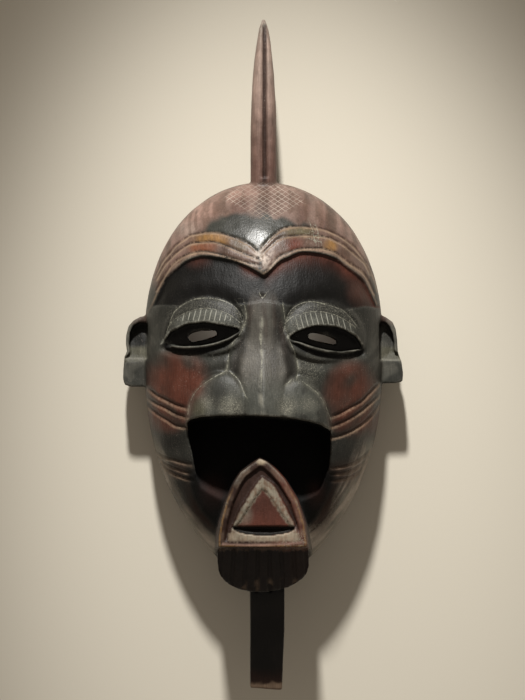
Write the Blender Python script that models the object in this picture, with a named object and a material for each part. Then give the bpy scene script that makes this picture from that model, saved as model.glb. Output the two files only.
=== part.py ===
"""Carved wooden face mask with a crest, ears, a jutting mouth and a beard, hollow behind.

The mask lies face up on its flat back rim, with the crest toward +Y. Its forms are drawn on a
front elevation (u across, v up, z toward the viewer), true at the depth of the rim. NARROWING
then draws them in toward the middle line with height, as the carving tapers toward its front.
"""

import bmesh
import bpy
import numpy as np

MM = 0.001

# Head: an egg-shaped shell, its side straight from the back rim up to SIDE_DEPTH
HALF_WIDTH = 0.107
WIDEST_LEVEL = 0.004
CROWN_REACH = 0.150
CHIN_REACH = 0.219
SIDE_DEPTH = 0.040
DOME_RISE = 0.086
SIDE_WALL = 0.015
FRONT_WALL = 0.014
HOLLOW_RISE = 0.066
HOLLOW_STEP = 0.022
HOLLOW_FOOT = -0.020
HEAD_FOOT = -0.006
EDGE_FADE = 0.12
NARROWING = 0.79

# Brow: a double arch with a sunk band below it, ending at BAND_FOOT
LEDGE_STEP = 0.0032
LEDGE_WIDTH = 0.003
BAND_FOOT = 0.039
LEAST_BAND = 0.006
SOCKET_DEPTH = 0.005
LID_BULGE = 0.009
LOWER_LID_WIDTH = 0.0028
LOWER_LID_DEPTH = 0.004

# Eye openings, cut to EYE_FLOOR at the middle line and deeper to each side
EYE_FLOOR = 0.123
EYE_TURN = 0.45

# Nose
NOSE_TIP = 0.149
NOSE_ROOT = 0.113
NOSE_HIGH = 0.055
NOSE_LOW = -0.060
NOSE_EDGE = 0.8
NOSE_ROOF = 0.20
NOSE_FADE_FOOT = 0.02
NOSE_FADE_RISE = 0.03
NOSE_BLEND = 0.004
NOSE_FOOT = 0.012
WING_BLEND = 0.002
WING_STEP = 0.003
WING_RISE = 0.016

# Niche under the nose
NICHE_BACK = 0.056
NICHE_SLOPE = 0.56
NICHE_TOP = -0.059
NICHE_UNDERCUT = 0.006

# Mouth block and beard
MOUTH_FRONT = 0.140
MOUTH_LEAN = 0.07
MOUTH_TOP = -0.094
MOUTH_ROOT = 0.058
MOUTH_SPREAD = 0.10
MOUTH_RIM = 0.0055
MOUTH_CUT = 0.0030
MOUTH_SUNK = 0.0016
MOUTH_SLIT = 0.006
MOUTH_SLIT_PLACE = (0.0004, -0.1562, 0.0285, 0.0072)
MOUTH_SLIT_TOP = -0.1545
MOUTH_CARVED = 0.008
MOUTH_LINE_EDGE = 0.0006
BEARD_FRONT = 0.138
BEARD_SLOPE = 0.55
BEARD_ROOT = 0.045
BEARD_TOP = -0.170
BEARD_SPREAD = -0.25
BEARD_LIFT = 0.008
FLUTE_TOP = -0.176
FLUTE_BACK = 0.095
FLUTE_PITCH = 0.0098
FLUTE_DEPTH = 0.0018

# Stalk, crest and ears
STALK_END = -0.3024
STALK_START = -0.172
STALK_FRONT = 0.070
STALK_BACK = 0.046
CREST_TIP = 0.301
CREST_WIDTH = 0.0235
CREST_DEPTH = 0.030
CREST_MIDDLE = 0.046
CREST_GROOVE = 0.003
CREST_GROOVE_WIDTH = 0.0026
CREST_GROOVE_SIDE = 0.0009
CREST_SPOKES = 24
CREST_ROUNDING = 0.7
CREST_NECK = 0.004
CREST_ROOT_SHARE = 0.3
CREST_THIN = 0.25
EAR_FRONT = 0.047
EAR_BACK = 0.023
EAR_SPREAD = -0.02
EAR_HOLLOW = 0.010
EAR_RAMP_FOOT = -0.0065
EAR_RAMP_RISE = 0.014

# Carved lines
GROOVE_WIDTH = 0.0019
GROOVE_DEPTH = 0.0017

# Making
RINGS = 76
SPOKES = 200
GRAIN = 0.0019
SOFTENING = 3
FACES = 9200
ABOVE = 0.25
RIM_CUT = -0.05

# Outlines and lines on the front elevation, in millimetres
BROW_LEFT = (
    (-104, 36), (-99.2, 44.6), (-92.7, 59.4), (-88.2, 68.9), (-79.2, 77), (-70.2, 83.9), (-60.9, 87.5),
    (-52.2, 88.9), (-34.2, 86.4), (-24.3, 83.9), (-11.9, 78.1), (0, 71.5),
)
BROW_RIGHT = (
    (0, 71.5), (3.3, 73.5), (7.8, 78), (15.3, 84.6), (22.5, 87.9), (33.3, 92.4), (44.6, 92), (52.8, 90.6),
    (60.3, 88.4), (67.5, 85), (73.8, 80), (82.8, 73.4), (89.6, 67.3), (93.3, 60.8), (97, 53.8), (101, 44),
)
NOSE_SIDES = ((52, 13), (40, 17), (19, 20), (4, 27), (-8, 30), (-18, 30.5), (-32, 27), (-46, 24), (-66, 25))
NOSE_FRONT = ((52, 7), (20, 12), (2, 16.5), (-15, 20), (-34, 16), (-66, 14))
WINGS = ((-38, -62, 32, 46, -66.5), (32, -68, 28.5, 47, -74))
EYES = ((-54, 17.5, 37, 33), (55, 13, 37, 35))
OPENING_LEFT = (
    (-92, 6), (-88, 13), (-83.5, 19.5), (-70, 26.5), (-54, 28.5), (-38, 26), (-25, 23.5), (-20, 21.5),
    (-31, 14.5), (-43, 10), (-56, 7.5), (-70, 6.5), (-82, 7.5),
)
OPENING_RIGHT = (
    (22.5, 14.5), (29, 19.5), (38, 23), (47, 25.5), (65, 24.5), (74, 21), (83, 15.5), (90, 4.5),
    (82, 3.5), (70, 2), (56, 3.5), (43, 7), (33, 10.5), (25, 12.5),
)
SLIT_LEFT = ((-69, 15), (-65, 18.5), (-56, 21), (-43, 21.2), (-41, 17), (-48, 14), (-56, 12), (-65, 10.5))
SLIT_RIGHT = ((40, 18.5), (44, 19), (53, 17.6), (60, 15), (66, 12), (65.5, 8), (56, 9.5), (47, 11.5), (40, 13.5))
NICHE = (
    (-68.5, -66), (-65.5, -63), (-56, -60.5), (-34, -58.7), (-7, -58.7), (15, -60.2), (29, -62), (42, -64.7),
    (52, -68), (60, -73.5), (60, -95), (58.5, -108), (53, -122), (49.5, -131), (42, -144.5), (34, -152),
    (12, -160), (-14, -160), (-38, -152), (-50.4, -138), (-57, -126), (-61, -113), (-64, -95), (-68, -78),
)
MOUTH = (
    (-3.6, -94), (3, -97), (11, -104), (19, -113), (30, -131), (37, -153), (39.5, -174),
    (-41, -174), (-40.5, -162), (-38.5, -150), (-33.3, -131), (-26, -115), (-20.5, -106.5), (-12, -100),
)
MOUTH_RING = (
    (-1.5, -110), (-5.5, -115), (-10.4, -121.5), (-21.7, -140.3), (-29, -157), (-33, -168.5),
    (34.5, -168.5), (29.7, -157), (20.1, -137), (8.9, -117),
)
MOUTH_HEART = (
    (-1.6, -121), (-7, -128), (-13.6, -138), (-22, -151), (-27.5, -157), (26.5, -157), (20, -148.4), (12, -137),
    (3.5, -124),
)
BEARD = (
    (-41, -170), (39.5, -170), (40.9, -182), (40.6, -192), (38.5, -198), (35, -202.2), (29, -206.6), (22, -210),
    (12, -213), (0, -214.5), (-12, -214), (-21, -212.2), (-29, -208.8), (-34.5, -205), (-39, -200), (-41, -194.5),
    (-42, -184),
)
# The ears' outlines and hollows, their first number from the head's side outward
EAR_LEFT = (
    (-11, 34), (-2, 34), (4, 33), (10, 30), (14.5, 25), (16.5, 17), (16.8, 8.5), (15.5, 2),
    (18, -3), (19.2, -14), (19.5, -23), (18, -28), (12, -29.5), (-11, -29.5),
)
EAR_RIGHT = (
    (-11, -27), (12, -26.5), (18, -25), (18.6, -18), (17, -7), (15.4, -3), (13.8, 2), (13.2, 13),
    (11.8, 22), (9, 28.5), (3, 33), (-3, 35.5), (-11, 36),
)
EAR_CUT_LEFT = ((-3, 28), (5, 28.3), (10.3, 25.3), (13.4, 18.6), (13.9, 9), (13.2, 1), (25, -9.5), (-3, -5.5))
EAR_CUT_RIGHT = ((-3, -6), (23, -7), (10.6, 3), (10.5, 10), (9.2, 18.5), (6.2, 24.8), (2.2, 28.5), (-3, 28.5))
STALK = ((-12, 0), (19, 0), (18.5, 0.6), (16.5, 1.0), (-12, 0.985))
CREST = ((-8, 1.0), (40, 0.99), (72, 0.93), (97, 0.80), (112, 0.68), (126, 0.54), (139, 0.33), (147.5, 0.10))
BROW_GROOVES = (
    (
        (-97, 70), (-92.7, 80.3), (-88.2, 86.9), (-83.7, 91.9), (-79.2, 97.7), (-70.3, 103.8), (-66, 106.7),
        (-56.7, 108.5), (-48, 109.2), (-38.7, 108.5), (-29.3, 105.6), (-20.7, 102.3), (-11.9, 97.7), (-4.7, 90.5),
    ),
    (
        (-96.3, 67.3), (-92.7, 74.5), (-88.4, 81), (-83.7, 86), (-79.2, 90.5), (-70.3, 96.9), (-64.5, 99.5),
        (-56.7, 100.4), (-48, 100.9), (-41.4, 100.2), (-34.2, 97.7), (-24.3, 93.3), (-14, 88.9), (-3.2, 84.6),
    ),
    (
        (-96.3, 57.2), (-92.7, 64.4), (-86.9, 73.8), (-83.7, 78.8), (-79.2, 83.3), (-70.2, 88.7), (-61.2, 91.5),
        (-52.2, 92.3), (-43.2, 90.5), (-34.2, 88.2), (-24.3, 85.1), (-15.3, 82.4), (-4, 79.7),
    ),
    (
        (-2.7, 93.6), (4, 101.9), (7.8, 105.6), (13, 110), (17.6, 112.7), (24.3, 114.2), (33.3, 114.8), (49.5, 113),
        (55.8, 111.6), (64.8, 107.8), (73.8, 102.6), (82.8, 95), (91.8, 83), (95.4, 78), (100.8, 66), (103, 57),
    ),
    (
        (-2.7, 85.3), (0.9, 92.3), (7.8, 98.8), (12.3, 103), (17.6, 105.2), (25.2, 106), (37.8, 106.7),
        (55.8, 105.2), (64.8, 101.9), (72, 98), (78.3, 93), (87.3, 85.3), (91.8, 80.8), (96.3, 71.8),
    ),
    (
        (2.7, 75), (6.3, 78.8), (10.8, 84.6), (15.3, 88.7), (22.5, 91.4), (28.8, 94), (39.3, 95), (51.3, 95),
        (57.3, 93.6), (64.8, 91), (71.6, 86), (78.3, 80.8), (87.3, 75), (91.8, 70.4), (96.3, 62.8), (99.9, 53.8),
    ),
)
CHEEK_GROOVES = (
    ((-104.4, -31), (-95.4, -37.8), (-87.3, -41.9), (-79.2, -45.9), (-69.3, -49)),
    ((-105.3, -39), (-97.2, -44.6), (-88.2, -49), (-79.2, -54), (-69.3, -57.2)),
    ((-105.3, -46.4), (-94.5, -55), (-86.4, -60), (-79.2, -64.5), (-68.4, -66.2)),
    ((-97.2, -88.2), (-90.9, -92.3), (-81.9, -95), (-72.9, -97.7), (-65.7, -99.5)),
    ((-95.4, -94), (-88.2, -99.5), (-81, -102.6), (-73.8, -105.3), (-65.7, -107.6)),
    ((-93.6, -98.6), (-86.4, -104.4), (-79.2, -108.5), (-71, -111.6), (-63.9, -113.9)),
    ((61.5, -56.5), (69, -53.5), (78, -48.5), (88, -43), (94.5, -36.5), (102.5, -28)),
    ((61.5, -65.5), (69, -62.5), (78, -58), (88, -51.5), (96, -44.5), (103, -38)),
    ((61, -75.5), (69, -73.5), (78, -70), (88, -64), (96, -56.5), (102.5, -48)),
    ((61, -102.5), (72, -101), (82, -97.5), (90, -92.5), (95, -87.5)),
    ((61, -108), (72, -107), (82, -103.5), (90, -98), (94.5, -93)),
    ((60.5, -114), (71, -112.5), (80, -110), (87, -105), (93, -98)),
)
LID_GROOVES = (
    ((-88, 22), (-83, 32), (-74, 43), (-57, 50), (-46, 50), (-34, 48), (-25, 43), (-20, 27)),
    ((19, 22), (19, 34), (24, 42), (33, 46), (43, 48), (56, 46), (69, 41), (78, 33), (86, 22)),
)
LOWER_LIDS = (
    ((-90, 3.5), (-80, 1.8), (-70, 1.2), (-57, 2.0), (-45, 4.5), (-33, 8.5), (-24, 15)),
    ((27, 9.5), (37, 3.5), (51, -0.8), (65, -2.2), (79, -1.5), (89, 0.5)),
)


def smooth(share):
    """An even step from 0 to 1 as share goes from 0 to 1."""
    share = np.clip(share, 0.0, 1.0)
    return share * share * (3.0 - 2.0 * share)


def blended(first, second, softness):
    """The higher of two heights, rounded where they cross."""
    gap = np.maximum(softness - np.abs(first - second), 0.0)
    return np.maximum(first, second) + gap * gap / (4.0 * softness)


def egg_level(u, v, inset=0.0):
    """0 at the middle of the face and 1 on its outline, drawn in by inset."""
    across = u / (HALF_WIDTH - inset)
    up = np.maximum(v - WIDEST_LEVEL, 0.0) / (CROWN_REACH - inset)
    down = np.minimum(np.maximum(WIDEST_LEVEL - v, 0.0) / (CHIN_REACH - 2.0 * inset), 1.0)
    return across**2 + up**2.4 + 1.0 - (1.0 - down**2.54) ** 1.7


def along(points, level):
    """A profile's value at a level, from (level, value) pairs in millimetres."""
    table = np.array(points, float) * MM
    table = table[np.argsort(table[:, 0])]
    return np.interp(level, table[:, 0], table[:, 1])


def curve(points, steps=6):
    """A smooth line through points in millimetres, as an array in metres."""
    knots = np.array(points, float) * MM
    padded = np.vstack([2 * knots[0] - knots[1], knots, 2 * knots[-1] - knots[-2]])
    line = []
    for before, start, end, after in zip(padded, padded[1:], padded[2:], padded[3:]):
        for share in np.arange(steps) / steps:
            bend = 2 * start + (end - before) * share
            bend = bend + (2 * before - 5 * start + 4 * end - after) * share**2
            line.append((bend + (3 * start - before - 3 * end + after) * share**3) / 2)
    return np.array(line + [knots[-1]])


def distance_to(line, u, v):
    """How far each point of the elevation lies from a line."""
    nearest = np.full(len(u), np.inf)
    for (u0, v0), (u1, v1) in zip(line, line[1:]):
        du, dv = u1 - u0, v1 - v0
        share = np.clip(((u - u0) * du + (v - v0) * dv) / max(du * du + dv * dv, 1e-12), 0, 1)
        nearest = np.minimum(nearest, np.hypot(u - u0 - share * du, v - v0 - share * dv))
    return nearest


def inside(outline, u, v):
    """Distance in from an outline, negative outside it."""
    line = np.vstack([outline, outline[:1]])
    crossed = np.zeros(len(u), bool)
    for (u0, v0), (u1, v1) in zip(line, line[1:]):
        if v0 != v1:
            crossed ^= ((v0 > v) != (v1 > v)) & (u < (u1 - u0) * (v - v0) / (v1 - v0) + u0)
    return np.where(crossed, 1.0, -1.0) * distance_to(line, u, v)


def dome_height(u, v):
    """The plain egg-shaped front, before the features."""
    return SIDE_DEPTH + DOME_RISE * np.sqrt(np.maximum(1.0 - egg_level(u, v), 0.0))


def mound(u, v, middle_u, middle_v, reach_u, reach_v):
    """1 in the middle of an oval and 0 on its edge and beyond, domed."""
    level = ((u - middle_u) / reach_u) ** 2 + ((v - middle_v) / reach_v) ** 2
    return np.sqrt(np.maximum(1.0 - level, 0.0))


def ledge_level(u):
    """The level of the brow ledge's lower edge."""
    left = along(curve(BROW_LEFT) / MM, u)
    right = along(curve(BROW_RIGHT) / MM, u)
    return np.where(u < 0, left, right)


def brow_sink(u, v):
    """How deep the band under the brow is sunk."""
    drop = ledge_level(u) - v
    fade = 1.0 - smooth(drop / np.maximum(ledge_level(u) - BAND_FOOT, LEAST_BAND))
    return LEDGE_STEP * smooth(drop / LEDGE_WIDTH) * fade


def eye_relief(u, v):
    """The sockets and the bulging lids in them."""
    relief = np.zeros_like(u)
    for middle_u, middle_v, reach_u, reach_v in EYES:
        du = (u - middle_u * MM) / (reach_u * MM)
        dv = (v - middle_v * MM) / (reach_v * MM)
        reach = np.hypot(du, np.where(dv > 0, dv, dv * 1.7))
        relief -= SOCKET_DEPTH * (1.0 - smooth((reach - 0.75) / 0.75))
        relief += LID_BULGE * np.sqrt(np.maximum(1.0 - reach**2, 0.0))
    return relief


def nose_height(u, v):
    """The ridge of the nose, standing on its sides' outline."""
    half = along(NOSE_SIDES, v)
    rise = smooth((NOSE_HIGH - v) / (NOSE_HIGH - NOSE_LOW))
    ridge = NOSE_ROOT + (NOSE_TIP - NOSE_ROOT) * rise
    front = np.minimum(along(NOSE_FRONT, v), NOSE_EDGE * half)
    side = np.clip((np.abs(u) - front) / (half - front), 0, 1)
    foot = dome_height(u, v) - LEDGE_STEP * smooth((v - NOSE_FADE_FOOT) / NOSE_FADE_RISE) - NOSE_FOOT
    shape = 1 - NOSE_ROOF * np.minimum(np.abs(u) / front, 1) - (1 - NOSE_ROOF) * side**1.5
    body = foot + (ridge - foot) * shape
    here = (np.abs(u) < half) & (v < NOSE_HIGH) & (v > NICHE_TOP - NICHE_UNDERCUT)
    return np.where(here, body, 0)


def face_height(u, v):
    """The whole front: dome, brow, sockets, lids and nose."""
    height = dome_height(u, v) - brow_sink(u, v) + eye_relief(u, v)
    height = blended(height, nose_height(u, v), NOSE_BLEND)
    for middle_u, middle_v, reach_u, reach_v, foot in WINGS:
        cap = mound(u, v, middle_u * MM, middle_v * MM, reach_u * MM, reach_v * MM)
        wing = dome_height(u, v) + WING_STEP + WING_RISE * cap**0.8
        height = blended(height, np.where((cap > 0) & (v > foot * MM), wing, 0), WING_BLEND)
    fade = smooth((1 - egg_level(u, v)) / EDGE_FADE)
    return dome_height(u, v) * (1 - fade) + height * fade


def niche_floor(v):
    """The back of the niche, which slopes out toward the chin."""
    return NICHE_BACK + NICHE_SLOPE * np.maximum(NICHE_TOP - v, 0.0)


def eye_floor(u, v):
    """How deep the wide part of an eye's opening is cut, before the slit goes through."""
    return EYE_FLOOR - EYE_TURN * np.abs(u)


def ear_floor(u, v):
    """The floor of an ear's hollow, which ramps out to the front of the lower block."""
    return EAR_FRONT - EAR_HOLLOW * np.clip((v - EAR_RAMP_FOOT) / EAR_RAMP_RISE, 0, 1)


def hollow_height(u, v):
    """The carved-out inside, a wall's thickness under the front and the niche."""
    shell = SIDE_DEPTH - FRONT_WALL
    shell = shell + HOLLOW_RISE * np.sqrt(np.maximum(1.0 - egg_level(u, v, SIDE_WALL), 0.0))
    past_niche = smooth((v - NICHE_TOP - NICHE_UNDERCUT - FRONT_WALL) / HOLLOW_STEP)
    below_niche = niche_floor(v) - FRONT_WALL
    return np.minimum(shell, below_niche + past_niche * HOLLOW_RISE)


def mesh_object(name, points, faces):
    """An object from points and faces, with its normals turned outward."""
    mesh = bpy.data.meshes.new(name)
    mesh.from_pydata([tuple(point) for point in points], [], faces)
    work = bmesh.new()
    work.from_mesh(mesh)
    bmesh.ops.recalc_face_normals(work, faces=work.faces)
    work.to_mesh(mesh)
    work.free()
    made = bpy.data.objects.new(name, mesh)
    bpy.context.scene.collection.objects.link(made)
    return made


def guide(made):
    """Marks an object as a cutter or other helper, which isn't part of the mask."""
    made.hide_render = True
    made.display_type = "WIRE"
    return made


def rings_object(name, rings):
    """A closed skin through rings of points, capped at both ends."""
    count = len(rings[0])
    faces = [tuple(range(count)), tuple(range((len(rings) - 1) * count, len(rings) * count))]
    for ring in range(len(rings) - 1):
        for spoke in range(count):
            after = (spoke + 1) % count
            low, high = ring * count, (ring + 1) * count
            faces.append((low + spoke, low + after, high + after, high + spoke))
    return mesh_object(name, np.vstack(rings), faces)


def egg_outline(inset=0.0):
    """Points of the head's outline, by halving along each spoke."""
    angle = np.linspace(0.0, 2.0 * np.pi, SPOKES, endpoint=False)
    near, far = np.zeros(SPOKES), np.full(SPOKES, CHIN_REACH)
    for _ in range(40):
        reach = (near + far) / 2
        out = egg_level(reach * np.cos(angle), WIDEST_LEVEL + reach * np.sin(angle), inset) >= 1.0
        near, far = np.where(out, near, reach), np.where(out, reach, far)
    return near * np.cos(angle), near * np.sin(angle)


def shell_object(name, height, inset, foot):
    """A solid with the egg's outline, a shaped top and a flat foot."""
    across, up = egg_outline(inset)
    rings = [np.column_stack([across, WIDEST_LEVEL + up, np.full(SPOKES, foot)])]
    for ring in range(RINGS):
        share = np.cos(0.5 * np.pi * ring / RINGS)
        u, v = across * share, WIDEST_LEVEL + up * share
        rings.append(np.column_stack([u, v, height(u, v)]))
    return rings_object(name, rings)


def prism(name, outline, low, high, spread=0.0, lift=0.0):
    """An outline in millimetres run up from low to high, each a height or a function of (u, v).

    The low end is wider by the share spread about its middle and shifted up by lift.
    """
    flat = np.array(outline, float) * MM
    middle = flat.mean(axis=0)
    wide = middle + (flat - middle) * (1.0 + spread) + (0.0, lift)
    ends = []
    for shape, end in ((wide, low), (flat, high)):
        level = end(shape[:, 0], shape[:, 1]) if callable(end) else np.full(len(shape), end)
        ends.append(np.column_stack([shape, level]))
    return rings_object(name, ends)


def ear_steps(name, side, block, cut):
    """The block of one ear on the head's side, -1 left or 1 right, and the cutter of its hollow."""
    edge = HALF_WIDTH / MM
    outer = [(side * (edge + out), v) for out, v in block]
    inner = [(side * (edge + out), v) for out, v in cut]
    return [
        ("UNION", prism(name + " ear block", outer, EAR_BACK, EAR_FRONT, EAR_SPREAD)),
        ("DIFFERENCE", prism(name + " ear cut", inner, ear_floor, ABOVE)),
    ]


def crest_object():
    """The upright crest, a slim post that tapers to its tip."""
    rings = []
    angle = np.linspace(0.0, 2.0 * np.pi, CREST_SPOKES, endpoint=False)
    base_level = WIDEST_LEVEL + CROWN_REACH
    stretch = (CREST_TIP - base_level) / (CREST[-1][0] * MM)
    for rise, share in CREST:
        across = np.sign(np.cos(angle)) * np.abs(np.cos(angle)) ** CREST_ROUNDING
        deep = np.sign(np.sin(angle)) * np.abs(np.sin(angle)) ** CREST_ROUNDING
        width = CREST_WIDTH * share / 2
        depth = CREST_DEPTH * (CREST_THIN + (1 - CREST_THIN) * share) / 2
        depth = depth * min(1.0, share / CREST_ROOT_SHARE)
        level = np.full(CREST_SPOKES, base_level + rise * MM * stretch)
        rings.append(np.column_stack([across * width, level, CREST_MIDDLE + deep * depth]))
    return rings_object("crest block", rings)


def stalk_object():
    """The straight grip below the beard."""
    length = STALK_START - STALK_END
    outline = [(u, (STALK_START - share * length) / MM) for u, share in STALK]
    return prism("stalk block", outline, STALK_BACK, STALK_FRONT)


def mouth_object():
    """The three-cornered block of the mouth."""
    front = lambda u, v: MOUTH_FRONT - MOUTH_LEAN * (v - MOUTH_TOP)
    return prism("mouth block", MOUTH, MOUTH_ROOT, front, MOUTH_SPREAD)


def beard_object():
    """The beard under the mouth, its front sloping back and down."""
    front = lambda u, v: BEARD_FRONT + BEARD_SLOPE * (v - BEARD_TOP)
    return prism("beard block", BEARD, BEARD_ROOT, front, BEARD_SPREAD, BEARD_LIFT)


def combined(base, steps):
    """The base with Boolean steps done in turn, as a new plain mesh."""
    for operation, other in steps:
        step = base.modifiers.new(other.name, "BOOLEAN")
        step.operation = operation
        step.solver = "EXACT"
        step.object = guide(other)
    return evaluated(base)


def evaluated(base):
    """The object's mesh with its modifiers done, put in their place."""
    graph = bpy.context.evaluated_depsgraph_get()
    graph.update()
    mesh = bpy.data.meshes.new_from_object(base.evaluated_get(graph), depsgraph=graph)
    base.modifiers.clear()
    base.data = mesh
    return base


def softened(base):
    """One even skin with worn edges, from the sharp blocked-out form."""
    skin = base.modifiers.new("even skin", "REMESH")
    skin.mode = "VOXEL"
    skin.voxel_size = GRAIN
    worn = base.modifiers.new("worn edges", "SMOOTH")
    worn.factor = 0.5
    worn.iterations = SOFTENING
    return evaluated(base)


def carve_depth(u, v, z):
    """How far in each point of the front is carved."""
    depth = np.zeros(len(u))
    for line in BROW_GROOVES + CHEEK_GROOVES + LID_GROOVES:
        depth = np.maximum(depth, GROOVE_DEPTH * np.exp(-((distance_to(curve(line), u, v) / GROOVE_WIDTH) ** 2)))
    for line in LOWER_LIDS:
        lid = np.exp(-((distance_to(curve(line), u, v) / LOWER_LID_WIDTH) ** 2))
        depth = np.maximum(depth, LOWER_LID_DEPTH * lid)
    front = z > MOUTH_FRONT - MOUTH_CARVED
    depth = np.maximum(depth, np.where(front, mouth_depth(u, v), 0.0))
    on_beard = smooth((FLUTE_TOP - v) / GROOVE_WIDTH) * (z > FLUTE_BACK)
    on_beard = on_beard * (inside(np.array(BEARD, float) * MM, u, v) > -GRAIN)
    flute = (1.0 - np.abs(np.cos(np.pi * u / FLUTE_PITCH))) ** 1.5
    depth += FLUTE_DEPTH * flute * on_beard
    on_crest = (np.abs(u) < CREST_WIDTH) & (v > WIDEST_LEVEL + CROWN_REACH + CREST_NECK)
    return depth + on_crest * CREST_GROOVE * np.exp(-(((u - CREST_GROOVE_SIDE) / CREST_GROOVE_WIDTH) ** 2))


def mouth_depth(u, v):
    """The groove inside the rim, the sunk middle and the slit of the mouth."""
    edge = inside(np.array(MOUTH, float) * MM, u, v)
    ring = smooth(inside(np.array(MOUTH_RING, float) * MM, u, v) / (2 * MOUTH_LINE_EDGE) + 0.5)
    middle = smooth(inside(np.array(MOUTH_HEART, float) * MM, u, v) / (2 * MOUTH_LINE_EDGE) + 0.5)
    groove = smooth((edge - MOUTH_RIM) / (2 * MOUTH_LINE_EDGE)) * (1 - ring)
    slit = mound(u, v, *MOUTH_SLIT_PLACE) * smooth((MOUTH_SLIT_TOP - v) / (2 * MOUTH_LINE_EDGE))
    return MOUTH_CUT * groove + MOUTH_SUNK * middle + MOUTH_SLIT * slit


def carved(base):
    """Cuts the lines into the front along the surface's own normals."""
    mesh = base.data
    points = np.empty(len(mesh.vertices) * 3)
    normals = np.empty(len(mesh.vertices) * 3)
    mesh.vertices.foreach_get("co", points)
    mesh.vertex_normals.foreach_get("vector", normals)
    points, normals = points.reshape(-1, 3), normals.reshape(-1, 3)
    facing = smooth((normals[:, 2] - 0.1) / 0.3)
    depth = carve_depth(points[:, 0], points[:, 1], points[:, 2]) * facing
    mesh.vertices.foreach_set("co", (points - normals * depth[:, None]).ravel())
    mesh.update()
    return base


def narrowed(base):
    """Draws the front in toward the middle line with height, and centres the mask."""
    mesh = base.data
    points = np.empty(len(mesh.vertices) * 3)
    mesh.vertices.foreach_get("co", points)
    points = points.reshape(-1, 3)
    points[:, :2] *= 1.0 - NARROWING * (points[:, 2:] - SIDE_DEPTH)
    middle = (points[:, :2].min(axis=0) + points[:, :2].max(axis=0)) / 2
    points[:, :2] -= middle
    mesh.vertices.foreach_set("co", points.ravel())
    mesh.update()
    return base


def thinned(base):
    """The same form with about FACES faces, and its back rim cut flat at z = 0."""
    thin = base.modifiers.new("fewer faces", "DECIMATE")
    thin.ratio = min(1.0, FACES / (2.0 * len(base.data.polygons)))
    reach = 2.0 * CREST_TIP
    corners = [(-reach, -reach), (reach, -reach), (reach, reach), (-reach, reach)]
    flat = prism("rim cut", [(u / MM, v / MM) for u, v in corners], RIM_CUT, 0.0)
    return combined(base, [("DIFFERENCE", flat)])


def wood():
    """Blackened wood with a dull sheen."""
    material = bpy.data.materials.new("blackened wood")
    material.use_nodes = True
    shader = material.node_tree.nodes["Principled BSDF"]
    shader.inputs["Base Color"].default_value = (0.042, 0.030, 0.026, 1.0)
    shader.inputs["Roughness"].default_value = 0.48
    shader.inputs["Metallic"].default_value = 0.0
    return material


def main():
    for old in list(bpy.data.objects):
        bpy.data.objects.remove(old)
    mask = shell_object("mask", face_height, 0.0, HEAD_FOOT)
    niche = prism("niche cut", NICHE, lambda u, v: niche_floor(v), ABOVE, 0.0, NICHE_UNDERCUT)
    steps = [
        ("DIFFERENCE", niche),
        *ear_steps("left", -1, EAR_LEFT, EAR_CUT_LEFT),
        *ear_steps("right", 1, EAR_RIGHT, EAR_CUT_RIGHT),
        ("UNION", crest_object()),
        ("UNION", stalk_object()),
        ("UNION", beard_object()),
        ("UNION", mouth_object()),
        ("DIFFERENCE", prism("left eye cut", OPENING_LEFT, eye_floor, ABOVE)),
        ("DIFFERENCE", prism("right eye cut", OPENING_RIGHT, eye_floor, ABOVE)),
        ("DIFFERENCE", prism("left slit cut", SLIT_LEFT, SIDE_DEPTH, ABOVE)),
        ("DIFFERENCE", prism("right slit cut", SLIT_RIGHT, SIDE_DEPTH, ABOVE)),
        ("DIFFERENCE", shell_object("hollow cut", hollow_height, SIDE_WALL, HOLLOW_FOOT)),
    ]
    combined(mask, steps)
    softened(mask)
    carved(mask)
    narrowed(mask)
    thinned(mask)
    mask.data.materials.append(wood())
    mask.data.shade_smooth()
    mask.data.set_sharp_from_angle(angle=0.7)


main()
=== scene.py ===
"""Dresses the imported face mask: one carved and painted piece of wood, lying face up on its back rim.

The carving is drawn on a front elevation (u across, v up, z toward the viewer), as the CAD is,
and its front is then drawn in toward the middle line with height. Paint is laid on in the same
elevation, so each colour stays on the form that carries it.
"""

import logging
import math
from collections.abc import Callable, Sequence
from dataclasses import dataclass, field
from enum import Enum

import bmesh
import bpy
import numpy as np
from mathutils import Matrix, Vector


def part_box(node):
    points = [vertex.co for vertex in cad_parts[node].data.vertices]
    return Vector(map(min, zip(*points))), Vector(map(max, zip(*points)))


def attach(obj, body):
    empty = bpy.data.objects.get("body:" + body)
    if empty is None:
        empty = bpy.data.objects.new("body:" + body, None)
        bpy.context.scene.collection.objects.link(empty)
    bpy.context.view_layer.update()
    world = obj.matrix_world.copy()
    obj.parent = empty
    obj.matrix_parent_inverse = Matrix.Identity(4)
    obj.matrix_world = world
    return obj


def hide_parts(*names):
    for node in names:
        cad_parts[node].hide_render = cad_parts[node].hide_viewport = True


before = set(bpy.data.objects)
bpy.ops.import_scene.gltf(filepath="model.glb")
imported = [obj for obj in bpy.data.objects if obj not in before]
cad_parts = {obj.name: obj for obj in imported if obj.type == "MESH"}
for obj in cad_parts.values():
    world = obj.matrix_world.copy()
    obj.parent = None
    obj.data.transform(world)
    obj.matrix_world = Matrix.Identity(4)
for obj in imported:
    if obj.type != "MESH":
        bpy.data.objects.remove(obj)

log = logging.getLogger("mask")

MM = 0.001
Values = np.ndarray
Points = tuple[tuple[float, float], ...]
Height = float | Callable[[Values, Values], Values]
Step = tuple[str, bpy.types.Object]
Row = tuple
Dab = tuple
Oval = tuple[float, float, float, float]

# The level where the sides of the head end and the face begins.
FACE_FOOT = 0.04

# How far a point lies from any drawn line, in half widths, where none is near.
NO_LINE = 60.0


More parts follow.
